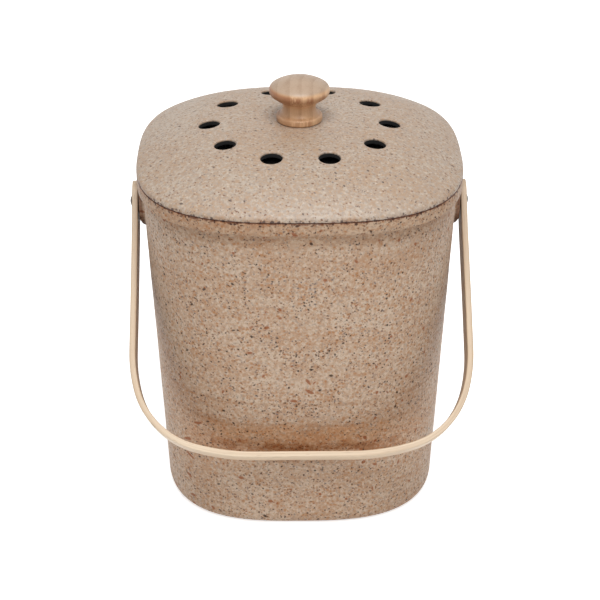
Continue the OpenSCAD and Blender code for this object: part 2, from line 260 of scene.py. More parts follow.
@dataclass(frozen=True)
class Cloud:
    """A noise of about 0.5: its clouds to a metre, its finer octaves and their weight."""

    per_metre: float
    detail: float = 2.0
    rough: float = 0.5
    stretch: Point = (1.0, 1.0, 1.0)
    shift: Point = (0.0, 0.0, 0.0)

    def read(self, place: Sock, out: str = "Fac") -> Sock:
        """Read the noise.

        Args:
            place: Where to read it.
            out: "Fac" for a value or "Color" for three.

        Returns:
            The noise.
        """
        spot = place.vector("MULTIPLY_ADD", self.stretch, self.shift)
        sockets = {"Vector": spot, "Scale": self.per_metre, "Detail": self.detail, "Roughness": self.rough}
        return place.nodes.add("ShaderNodeTexNoise", {}, sockets, out)


@dataclass(frozen=True)
class Patches:
    """Soft patches: low below one value of a noise, high above another."""

    cloud: Cloud
    start: float
    end: float
    low: float = 0.0
    high: float = 1.0

    def read(self, place: Sock, lift: Sock | float = 0.0) -> Sock:
        """The patches at a place, with the noise raised by a lift."""
        return (self.cloud.read(place) + lift).ramp(self.start, self.end, self.low, self.high)


# ------------------------------------------------------------------------------ finishes


class Shading(Nodes):
    """A material's tree, with what the finishes share."""

    def __init__(self, tree: bpy.types.NodeTree) -> None:
        """Take a new material's tree, which holds a Principled BSDF."""
        super().__init__(tree)
        self.shader = next(n for n in tree.nodes if n.type == "BSDF_PRINCIPLED")

    def place(self) -> Sock:
        """The point in the frame's own coordinates."""
        return self.add("ShaderNodeTexCoord", out="Object")

    def torn(self, place: Sock, per_metre: float, reach: float) -> Sock:
        """The place shaken by a reach each way, so that a pattern read there has ragged edges."""
        shake = Cloud(per_metre).read(place, "Color").vector("SUBTRACT", (0.5, 0.5, 0.5))
        return shake.vector("MULTIPLY_ADD", (2 * reach,) * 3, place)

    def feed(self, **inputs: Sock | float | Colour) -> None:
        """Link or set the shader's inputs, named with underscores for spaces."""
        for name, value in inputs.items():
            self.fill(self.shader.inputs[name.replace("_", " ")], value)

    def relief(self, height: Sock, depth: float) -> None:
        """Bump the surface by a height of 0 to 1, where 1 is a depth in metres."""
        sockets = {"Height": height, "Strength": 1.0, "Distance": depth}
        self.feed(Normal=self.add("ShaderNodeBump", {}, sockets, "Normal"))


@dataclass(frozen=True)
class Finish(ABC):
    """The finish of one material."""

    name: str

    @abstractmethod
    def dress(self, nodes: Shading) -> None:
        """Build what varies over the surface.

        Args:
            nodes: The material's tree.
        """

    def material(self) -> bpy.types.Material:
        """The finish as a material, which is made once.

        Returns:
            The material.
        """
        made = bpy.data.materials.get(self.name)
        if made is None:
            made = bpy.data.materials.new(self.name)
            made.use_nodes = True
            self.dress(Shading(made.node_tree))
        return made


@dataclass(frozen=True)
class Fleck:
    """One size of fleck, strewn through a composite's thickness."""

    spacing: float
    radius: float
    share: float
    colour: Colour
    strength: float
    stretch: float = 1.6
    softness: float = 0.5
    shift: float = 0.0
    smallest: float = 0.45
    largest: float = 1.55

    def mask(self, place: Sock) -> Sock:
        """Find the flecks.

        Args:
            place: Where to read them.

        Returns:
            1 inside a fleck, 0 outside.
        """
        moved = place.vector("ADD", (self.shift,) * 3)
        cell = place.nodes.add("ShaderNodeTexVoronoi", {}, {"Vector": moved, "Scale": 1 / self.spacing})
        dice = cell.of("Color")
        grown, chosen, _ = dice.xyz()
        away = moved.vector("SUBTRACT", cell.of("Position"))
        lean = dice.vector("SUBTRACT", (0.5, 0.5, 0.5)).vector("NORMALIZE")
        along = away.vector("DOT_PRODUCT", lean, out="Value")
        reach = away.vector("DOT_PRODUCT", away, out="Value")
        across = (reach - along * along * (1 - 1 / self.stretch**2)) ** 0.5
        size = (grown * (self.largest - self.smallest) + self.smallest) * self.radius
        return across.ramp(size, size * (1 - self.softness)) * (chosen < self.share)


@dataclass(frozen=True)
class Spot:
    """A point of a composite, as its zones read it."""

    place: Sock
    torn: Sock
    x: Sock
    y: Sock
    z: Sock
    level: Sock
    below: Sock


@dataclass(frozen=True)
class Zone(ABC):
    """A zone that is tinted over the composite's ground and flecks."""

    @abstractmethod
    def over(self, spot: Spot, colour: Sock) -> Sock:
        """Tint a colour where the zone is.

        Args:
            spot: The point.
            colour: Its colour so far.

        Returns:
            The tinted colour.
        """


@dataclass(frozen=True)
class EarSkin(Zone):
    """Painted shade on the ears, which stand proud of the wall's line between two depths."""

    wall_x: float = 81.21 * MM
    wall_lean: float = 0.056
    proud: Flat = (0.3 * MM, 1.3 * MM)
    top: Flat = (9.0 * MM, 14.0 * MM)
    foot: Flat = (60.0 * MM, 55.0 * MM)
    strength: float = 0.9
    # colour of the painted shade on the ears
    colour: Colour = (0.42, 0.30, 0.24)

    def over(self, spot: Spot, colour: Sock) -> Sock:
        """Paint shade on what is proud of the wall's line.

        Args:
            spot: The point.
            colour: Its colour so far.

        Returns:
            The tinted colour.
        """
        # painted shade: the ears' faces proud of the wall are darkened as if in the bail arm's shade
        proud = abs(spot.x) - spot.z * self.wall_lean - self.wall_x
        mask = proud.ramp(*self.proud, 0.0, self.strength) * spot.below.ramp(*self.top)
        return (mask * spot.below.ramp(*self.foot)).tint(colour, self.colour)


@dataclass(frozen=True)
class RimBand(Zone):
    """The browner band under the seam, from its foot up: partly the band's own tone, partly painted shade
    below the band.
    """

    foot: Flat = (20.0 * MM, 12.0 * MM)
    strength: float = 0.8
    # partly the band's tone, partly painted shade under the band's foot
    colour: Colour = (0.82, 0.74, 0.66)

    def over(self, spot: Spot, colour: Sock) -> Sock:
        """Tint all that is near under the seam, partly as painted shade below the band."""
        # partly painted shade: stands in for the shade under the band's foot
        return spot.below.ramp(*self.foot, 0.0, self.strength).tint(colour, self.colour)


@dataclass(frozen=True)
class LevelLine(Zone):
    """A level line that the mould left across the front, fading out at the sides."""

    height: float
    strength: float
    reach: Flat = (1.6 * MM, 0.2 * MM)
    front: Flat = (0.0, -70.0 * MM)
    colour: Colour = (0.72, 0.58, 0.46)

    def over(self, spot: Spot, colour: Sock) -> Sock:
        """Tint a narrow swaying line."""
        mask = abs(spot.level - self.height).ramp(*self.reach, 0.0, self.strength)
        return (mask * spot.y.ramp(*self.front)).tint(colour, self.colour)


@dataclass(frozen=True)
class Scorch(Zone):
    """A browner zone low on the front, with a level upper edge and a deep foot, which is painted shadow of
    the bail resting against the wall.
    """

    high: float = 72.6 * MM
    low: float = 52.0 * MM
    spread: float = 74.0 * MM
    core: float = 0.45
    front: Flat = (0.0, -30.0 * MM)
    edge: Flat = (2.0 * MM, -2.2 * MM)
    fall: Flat = (-2.0 * MM, 6.0 * MM)
    fall_from: float = 0.6
    foot: float = 8.0 * MM
    deep: Flat = (12.0 * MM, 3.0 * MM)
    blotch: Patches = Patches(Cloud(80, 4, 0.75, (1.0, 1.0, 2.5)), 0.36, 0.60, 0.2, 1.5)
    colour: Colour = (1.12, 0.98, 0.83)
    # colour of the painted shadow of the bail at the zone's foot
    deep_colour: Colour = (0.54, 0.42, 0.33)

    def over(self, spot: Spot, colour: Sock) -> Sock:
        """Tint the zone in blotches, and its foot once more as painted shadow of the bail.

        Args:
            spot: The point.
            colour: Its colour so far.

        Returns:
            The tinted colour.
        """
        wide = abs(spot.x).ramp(self.spread, self.spread * self.core) * spot.y.ramp(*self.front)
        tall = spot.level.ramp(self.high + self.edge[0], self.high + self.edge[1]) \
            * spot.level.ramp(self.high + self.fall[0], self.low + self.fall[1], self.fall_from, 1.0) \
            * spot.level.ramp(self.low - self.foot, self.low)
        patch = tall * wide * self.blotch.read(spot.torn)
        colour = patch.tint(colour, self.colour)
        # painted shadow: the zone's foot is darkened where the bail rests against the wall
        deep = spot.level.ramp(self.low + self.deep[0], self.low + self.deep[1]) * patch
        return deep.tint(colour, self.deep_colour)


@dataclass(frozen=True)
class Seam(Zone):
    """The uneven dark line where the lid and the bin meet, its halo and the beads along it."""

    height: float
    halo: Flat = (5.0 * MM, 0.8 * MM)
    halo_patches: Patches = Patches(Cloud(60), 0.48, 0.72, 0.0, 0.6)
    halo_colour: Colour = (0.86, 0.64, 0.46)
    width: Patches = Patches(Cloud(300, 3, 0.7), 0.42, 0.64, 0.5 * MM, 1.9 * MM)
    core: float = 0.3
    strength: float = 0.85
    stain: Colour = srgb(92, 48, 28)
    bead: Fleck = Fleck(2.0 * MM, 0.85 * MM, 0.7, srgb(58, 32, 22), 0.9, 1.3, 0.4, 0.67)
    bead_reach: Flat = (2.1 * MM, 1.5 * MM)

    def over(self, spot: Spot, colour: Sock) -> Sock:
        """Lay the halo, the line and the beads.

        Args:
            spot: The point.
            colour: Its colour so far.

        Returns:
            The stained colour.
        """
        away = abs(spot.torn.xyz()[2] - self.height)
        halo = away.ramp(*self.halo) * self.halo_patches.read(spot.place)
        colour = halo.tint(colour, self.halo_colour)
        width = self.width.read(spot.place)
        colour = away.ramp(width, width * self.core, 0.0, self.strength).blend(colour, self.stain)
        beads = self.bead.mask(spot.torn) * away.ramp(*self.bead_reach) * self.bead.strength
        return beads.blend(colour, self.bead.colour)


@dataclass(frozen=True)
class Vents:
    """The ring of vents, whose walls are painted near black below their lips as painted shade inside the
    holes.
    """

    count: int
    ring: float
    radius: float
    start: float = 0.9 * MM
    fade: float = 0.5 * MM
    margin: Flat = (0.6 * MM, 0.3 * MM)
    # near black of the painted shade in the vents
    colour: Colour = srgb(9, 8, 8)
    attribute: str = "depth"

    def mask(self, place: Sock) -> Sock:
        """Find the vents' walls, which take the painted shade.

        Args:
            place: Where to read them.

        Returns:
            1 on the walls below the lips, 0 elsewhere.
        """
        x, y, _ = place.xyz()
        turn = x.math("ARCTAN2", y) * (self.count / FULL_TURN)
        turn = (turn.math("FRACT") - 0.5) * (FULL_TURN / self.count)
        far = (x * x + y * y) ** 0.5
        near = (far * far + self.ring**2 - turn.math("COSINE") * far * (2 * self.ring)) ** 0.5
        depth = place.nodes.add("ShaderNodeAttribute", {"attribute_name": self.attribute}, out="Fac")
        inside = near.ramp(self.radius + self.margin[0], self.radius + self.margin[1])
        return inside * depth.ramp(self.start, self.start + self.fade)


@dataclass(frozen=True)
class Mottle:
    """One colour of a mottled ground, and how its patches follow the ground's slow drift."""

    colour: Colour
    patches: Patches
    drift: float = 0.0


@dataclass(frozen=True)
class Composite(Finish):
    """Moulded bamboo-fibre composite: a mottled ground, flecks of several sizes and tinted zones."""

    ground: Colour
    mottles: tuple[Mottle, ...]
    flecks: tuple[Fleck, ...]
    zones: tuple[Zone, ...]
    seam_z: float
    roughness: float = 0.5
    specular: float = 0.2
    vents: Vents | None = None
    ragged: Flat = (1500.0, 0.3 * MM)
    sway: Cloud = Cloud(30)
    sway_reach: float = 1.5 * MM
    drift: float = 0.3
    slow: Cloud = Cloud(24, 3, 0.6)
    flow: Cloud = Cloud(1.0, 4, 0.65, (11.0, 11.0, 95.0))
    fine: Cloud = Cloud(1300, 3, 0.6)
    wave: Cloud = Cloud(170)
    gloss: Cloud = Cloud(130, 3)
    relief: float = 0.08 * MM

    def dress(self, nodes: Shading) -> None:
        """Ground, flecks, zones, vents painted dark as painted shade, and a fine relief.

        Args:
            nodes: The material's tree.
        """
        place = nodes.place()
        torn = nodes.torn(place, *self.ragged)
        x, y, z = place.xyz()
        level = z + (self.sway.read(place) - 0.5) * (2 * self.sway_reach)
        spot = Spot(place, torn, x, y, z, level, self.seam_z - z)
        colour = self._ground(spot)
        dark: Sock | float = 0.0
        for fleck in self.flecks:
            mask = fleck.mask(torn) * fleck.strength
            colour = mask.blend(colour, fleck.colour)
            dark = mask.math("MAXIMUM", dark)
        for zone in self.zones:
            colour = zone.over(spot, colour)
        gloss = self.gloss.read(place) * 0.16 + dark * 0.12 + (self.roughness - 0.08)
        if self.vents:
            # painted shade: the vents' walls below their lips are painted near black
            inside = self.vents.mask(place)
            colour = inside.blend(colour, self.vents.colour)
            gloss = inside.math("MAXIMUM", gloss)
        nodes.feed(Base_Color=colour, Roughness=gloss, Specular_IOR_Level=self.specular)
        nodes.relief(self.fine.read(place) * 0.4 + self.wave.read(place) * 0.8 - dark * 0.3, self.relief)

    def _ground(self, spot: Spot) -> Sock:
        """Mottle the ground, which drifts slowly and along the mould's level flow marks.

        Args:
            spot: The point.

        Returns:
            The ground's colour.
        """
        drift = (self.slow.read(spot.place) + self.flow.read(spot.place) - 1.0) * self.drift
        colour: Sock | Colour = self.ground
        for mottle in self.mottles:
            lift = drift * mottle.drift if mottle.drift else 0.0
            colour = mottle.patches.read(spot.torn, lift).blend(colour, mottle.colour)
        return colour


@dataclass(frozen=True)
class TurnedWood(Finish):
    """Sealed beech with its grain upright: growth rings round an axis beside the piece."""

    light: Colour
    dark: Colour
    pore: Colour
    # pale and dark colours of the painted top light on the cap
    bleached: Colour
    shaded: Colour
    foot_z: float
    heart: Point = (48.7 * MM, -11.0 * MM, 0.0)
    ring_gap: float = 6.8 * MM
    late: Flat = (0.05, 0.7)
    bent: Flat = (60.0, 0.9 * MM)
    fibre: Cloud = Cloud(1100, 3, 0.6, (1.0, 1.0, 0.03))
    cloud: Cloud = Cloud(110, 2, 0.5, (1.0, 1.0, 0.3))
    pores: Patches = Patches(Cloud(1400, 3, 0.6), 0.58, 0.72, 0.0, 0.25)
    cap: Flat = (11.0 * MM, 15.0 * MM)
    drum: Flat = (6.0 * MM, 3.0 * MM)
    grime: Flat = (0.9 * MM, 0.1 * MM)
    leftward: float = 28.0
    roughness: float = 0.42
    relief: float = 0.05 * MM

    def dress(self, nodes: Shading) -> None:
        """Rings, fibres, streaks round the widest line and the drum, a cap painted paler and greyer where it
        faces up as painted top light, painted shade where it turns down, and a dark foot.

        Args:
            nodes: The material's tree.
        """
        place = nodes.place()
        bent = nodes.torn(place.vector("MULTIPLY", (1.0, 1.0, 0.2)), *self.bent)
        flat = bent.vector("SUBTRACT", self.heart).vector("MULTIPLY", (1.0, 1.0, 0.0))
        ring = (flat.vector("LENGTH", out="Value") / self.ring_gap).math("FRACT")
        late = ring.ramp(0.0, self.late[0]) * ring.ramp(self.late[1], self.late[0])
        fibre = self.fibre.read(place) - 0.5
        cloud = self.cloud.read(place) - 0.5
        upright = nodes.add("ShaderNodeNewGeometry", out="Normal").xyz()[2]
        x, _, z = place.xyz()
        left, height = x * -self.leftward, z - self.foot_z
        cap = height.ramp(*self.cap)
        # painted shade: the cap darkens where its face turns down, reaching higher on the left, and its grain
        # streaks gather there
        rim = (upright - left * 0.7).ramp(0.6, 0.0) * cap
        streaks = (fibre + cloud * 0.9 + left + 0.5).ramp(0.44, 0.56) * (rim + height.ramp(*self.drum) * 0.5)
        mix = late * 0.24 + fibre * 0.5 + cloud * 0.8 + rim * 0.3 + 0.12
        colour = mix.ramp(0.0, 1.0).blend(self.light, self.dark)
        # painted top light: the cap's faces that look up are painted paler and greyer
        painted_top = mix.ramp(-0.1, 0.9).blend(self.bleached, self.shaded)
        colour = (upright.ramp(0.3, 0.85, 0.0, 0.9) * cap).blend(colour, painted_top)
        colour = (streaks * 0.85).blend(colour, self.dark)
        colour = self.pores.read(place).blend(colour, self.pore)
        # darker within a millimetre of the knob's foot
        colour = height.ramp(*self.grime, 0.0, 0.5).blend(colour, self.pore)
        nodes.feed(Base_Color=colour, Roughness=fibre * 0.2 + self.roughness)
        nodes.relief(fibre * 0.7 + late * 0.3, self.relief)


@dataclass(frozen=True)
class BentBamboo(Finish):
    """Pale bamboo whose grain follows the strip, read from its own grain attribute."""

    light: Colour
    dark: Colour
    vein: Colour
    depth: float = 1.8 * MM
    # tint of the painted shade on the strip's inner face
    inner: Colour = (0.74, 0.68, 0.62)
    # tint and heights of the painted shade that darkens the arms upwards
    upper: Colour = (0.86, 0.83, 0.80)
    upper_z: Flat = (60.0 * MM, 95.0 * MM)
    bands: Cloud = Cloud(1.0, 3, 0.6, (6.0, 230.0, 420.0))
    veins: Cloud = Cloud(1.0, 3, 0.65, (16.0, 1500.0, 1500.0))
    pores: Patches = Patches(Cloud(1.0, 1, 0.5, (130.0, 2600.0, 2600.0)), 0.64, 0.76, 0.0, 0.5)
    roughness: float = 0.48
    relief: float = 0.06 * MM
    attribute: str = "grain"

    def dress(self, nodes: Shading) -> None:
        """Fine long veins, broad bands and a few short pores, with painted shade on the inner face and up the
        arms towards the ends.

        Args:
            nodes: The material's tree.
        """
        along = nodes.add("ShaderNodeAttribute", {"attribute_name": self.attribute}, out="Vector")
        band, vein = self.bands.read(along), self.veins.read(along)
        colour = ((band - 0.5) * 1.5 + (vein - 0.5) * 1.3 + 0.35).ramp(0.0, 1.0).blend(self.light, self.dark)
        colour = self.pores.read(along).blend(colour, self.vein)
        through = along.xyz()[2]
        # painted shade: the strip's inner face is darkened as if in shade
        colour = through.ramp(-self.depth * 0.9, -self.depth * 0.99).tint(colour, self.inner)
        # painted shade: the arms darken upwards towards their ends
        colour = nodes.place().xyz()[2].ramp(*self.upper_z).tint(colour, self.upper)
        nodes.feed(Base_Color=colour, Roughness=vein * 0.2 + (self.roughness - 0.1))
        nodes.relief(vein * 0.7 + band * 0.3, self.relief)


@dataclass(frozen=True)
class Metal(Finish):
    """A turned or stamped metal with fine marks and duller worn patches."""

    light: Colour
    dark: Colour
    roughness: float = 0.32
    wear: Cloud = Cloud(420, 4, 0.65)
    marks: Cloud = Cloud(5200, 2, 0.5, (1.0, 0.08, 1.0))
    relief: float = 0.02 * MM

    def dress(self, nodes: Shading) -> None:
        """Fine marks in the polish and cloudy wear.

        Args:
            nodes: The material's tree.
        """
        place = nodes.place()
        wear, marks = self.wear.read(place), self.marks.read(place)
        nodes.feed(Base_Color=wear.ramp(0.38, 0.64).blend(self.light, self.dark), Metallic=1.0)
        nodes.feed(Roughness=wear * 0.22 + marks * 0.1 + (self.roughness - 0.16))
        nodes.relief(marks * 0.5 + wear * 0.5, self.relief)


@dataclass(frozen=True)
class Moulded(Finish):
    """A plain moulded plastic with a spark-textured surface."""

    light: Colour
    dark: Colour
    roughness: float = 0.5
    cloud: Cloud = Cloud(60, 3, 0.6)
    spark: Cloud = Cloud(2400, 2, 0.6)
    relief: float = 0.04 * MM

    def dress(self, nodes: Shading) -> None:
        """Faint clouds, a fine even texture and slightly varied gloss.

        Args:
            nodes: The material's tree.
        """
        place = nodes.place()
        cloud, spark = self.cloud.read(place), self.spark.read(place)
        nodes.feed(Base_Color=(cloud * 0.6 + spark * 0.4).ramp(0.35, 0.65).blend(self.light, self.dark))
        nodes.feed(Roughness=spark * 0.16 + (self.roughness - 0.08))
        nodes.relief(spark, self.relief)


@dataclass(frozen=True)
class Felt(Finish):
    """Charcoal felt: matted black fibres with grey dust between them."""

    light: Colour
    dark: Colour
    roughness: float = 0.95
    matted: Flat = (700.0, 1.2 * MM)
    fibres: Cloud = Cloud(1500, 3, 0.7)
    dust: Cloud = Cloud(240, 4, 0.7)
    relief: float = 0.4 * MM

    def dress(self, nodes: Shading) -> None:
        """Matted fibres, dust and a deep uneven relief.

        Args:
            nodes: The material's tree.
        """
        place = nodes.place()
        mat, dust = self.fibres.read(nodes.torn(place, *self.matted)), self.dust.read(place)
        nodes.feed(Base_Color=(mat * 0.7 + dust * 0.3).ramp(0.42, 0.66).blend(self.dark, self.light))
        nodes.feed(Roughness=self.roughness)
        nodes.relief(mat, self.relief)


# ------------------------------------------------------------------------------ meshes


@dataclass(frozen=True)
class Plan:
    """A rounded-square outline: a superellipse of one squareness."""

    half_w: float
    half_d: float
    square: float

    def inset(self, by: float) -> Plan:
        """The same outline set in by a distance."""
        return Plan(self.half_w - by, self.half_d - by, self.square)

    def mix(self, other: Plan, share: float) -> Plan:
        """Find the outline part of the way to another.

        Args:
            other: The other outline.
            share: How far it is towards it, 0 to 1.

        Returns:
            The outline between.
        """
        start = np.array((self.half_w, self.half_d, self.square))
        end = np.array((other.half_w, other.half_d, other.square))
        return Plan(*(start + (end - start) * share))

    def reach(self, turns: np.ndarray) -> np.ndarray:
        """Distance of the outline from its middle at each turn."""
        wide, deep = abs(np.cos(turns)) / self.half_w, abs(np.sin(turns)) / self.half_d
        return (wide**self.square + deep**self.square) ** (-1 / self.square)

    def ring(self, turns: np.ndarray, height: float | np.ndarray) -> np.ndarray:
        """The outline as points at a height."""
        return polar(self.reach(turns), turns, height)

    def rolled(self, turns: np.ndarray, middle: Flat, half: Flat, lifts: np.ndarray) -> list[np.ndarray]:
        """Rows round an elliptic edge, from the inset and height of its middle and its half axes."""
        (inset, height), (wide, tall) = middle, half
        return [self.inset(inset - wide * math.cos(lift)).ring(turns, height + tall * math.sin(lift))
                for lift in lifts]


def polar(reach: float | np.ndarray, turns: np.ndarray, height: float | np.ndarray) -> np.ndarray:
    """Points round the vertical axis, as rows of x, y and z."""
    x, y, z = np.broadcast_arrays(reach * np.cos(turns), reach * np.sin(turns), height)
    return np.stack((x, y, z), axis=1)


def swing(start: float, end: float, steps: int) -> np.ndarray:
    """Even angles from one to another, which are given in degrees, in radians."""
    return np.radians(np.linspace(start, end, steps + 1))


class Draft:
    """A closed mesh under construction from rows of points."""

    def __init__(self) -> None:
        """Start empty."""
        self.points: list[np.ndarray] = []
        self.faces: list[tuple[int, ...]] = []
        self.count = 0

    def row(self, points: np.ndarray) -> np.ndarray:
        """Add a row of points.

        Args:
            points: The points.

        Returns:
            Their numbers in the mesh.
        """
        self.points.append(points)
        self.count += len(points)
        return np.arange(self.count - len(points), self.count)

    def bridge(self, first: np.ndarray, second: np.ndarray, skip: Sequence[int] = ()) -> None:
        """Join two closed rows of equal length with quads.

        Args:
            first: Numbers of the first row's points.
            second: Numbers of the second row's points.
            skip: Quads to leave out, by the number of their first column.
        """
        left_out = set(skip)
        ends = zip(first, np.roll(first, -1), np.roll(second, -1), second)
        self.faces += [tuple(map(int, quad)) for i, quad in enumerate(ends) if i not in left_out]

    def skin(self, rows: Sequence[np.ndarray], skip: Sequence[int] = ()) -> None:
        """Join each row to the next, but for the quads to skip."""
        for first, second in zip(rows, rows[1:]):
            self.bridge(first, second, skip)

    def fan(self, ring: np.ndarray, middle: Point) -> None:
        """Close a row with triangles to one point."""
        (centre,) = self.row(np.array([middle]))
        self.faces += [(int(a), int(b), int(centre)) for a, b in zip(ring, np.roll(ring, -1))]

    def mesh(self, name: str) -> bpy.types.Mesh:
        """Finish the mesh, with its normals outwards.

        Args:
            name: The mesh's name.

        Returns:
            The mesh.
        """
        made = bpy.data.meshes.new(name)
        made.from_pydata(np.concatenate(self.points).tolist(), [], self.faces)
        return tidied(made)


def tidied(mesh: bpy.types.Mesh, weld: float = 0.0, sharp: float = 34.0) -> bpy.types.Mesh:
    """Weld doubles, turn the normals outwards and shade the mesh smooth between sharp edges.

    Args:
        mesh: The mesh, which is changed in place.
        weld: Distance within which points are joined, or 0 for none.
        sharp: Turn past which an edge is sharp, degrees.

    Returns:
        The same mesh.
    """
    work = bmesh.new()
    work.from_mesh(mesh)
    if weld:
        bmesh.ops.remove_doubles(work, verts=work.verts, dist=weld)
        bmesh.ops.dissolve_degenerate(work, edges=work.edges, dist=weld / 10)
    bmesh.ops.recalc_face_normals(work, faces=work.faces)
    if work.calc_volume(signed=True) < 0:
        bmesh.ops.reverse_faces(work, faces=work.faces)
    work.to_mesh(mesh)
    work.free()
    mesh.shade_smooth()
    mesh.set_sharp_from_angle(angle=math.radians(sharp))
    return mesh


def arc(centre: Flat, radius: float, start: float, end: float, steps: int) -> list[Flat]:
    """Points of an arc between two angles in degrees."""
    x, y = centre
    return [(x + radius * math.cos(t), y + radius * math.sin(t)) for t in swing(start, end, steps)]


def rounded(corners: Sequence[Corner], closed: bool, steps: int = 5) -> list[Flat]:
    """An outline through corners that each have their own radius.

    Args:
        corners: Two coordinates and a radius for each corner, 0 for a plain one.
        closed: Whether the last corner joins the first.
        steps: Steps round each corner.

    Returns:
        The outline's points.
    """
    made: list[Flat] = []
    spots = [Vector(c[:2]) for c in corners]
    for i, (spot, corner) in enumerate(zip(spots, corners)):
        at_end = not closed and i in (0, len(corners) - 1)
        if at_end or not corner[2]:
            made.append(tuple(spot))
            continue
        back = (spots[i - 1] - spot).normalized()
        on = (spots[(i + 1) % len(spots)] - spot).normalized()
        half = back.angle(on) / 2
        centre = spot + (back + on).normalized() * corner[2] / math.sin(half)
        first = spot + back * corner[2] / math.tan(half) - centre
        last = spot + on * corner[2] / math.tan(half) - centre
        for step in range(steps + 1):
            made.append(tuple(centre + first.slerp(last, step / steps) * corner[2]))
    return made


def linked(name: str, data: Any) -> bpy.types.Object:
    """Put a new object into the scene.

    Args:
        name: Its name.
        data: Its mesh, lamp or camera.

    Returns:
        The object.
    """
    made = bpy.data.objects.new(name, data)
    bpy.context.scene.collection.objects.link(made)
    return made


def applied(holder: bpy.types.Object) -> bpy.types.Mesh:
    """Apply an object's modifiers.

    Args:
        holder: The object, which keeps its modifiers.

    Returns:
        The result as a plain mesh.
    """
    bpy.context.view_layer.update()
    view = bpy.context.evaluated_depsgraph_get()
    return bpy.data.meshes.new_from_object(holder.evaluated_get(view))


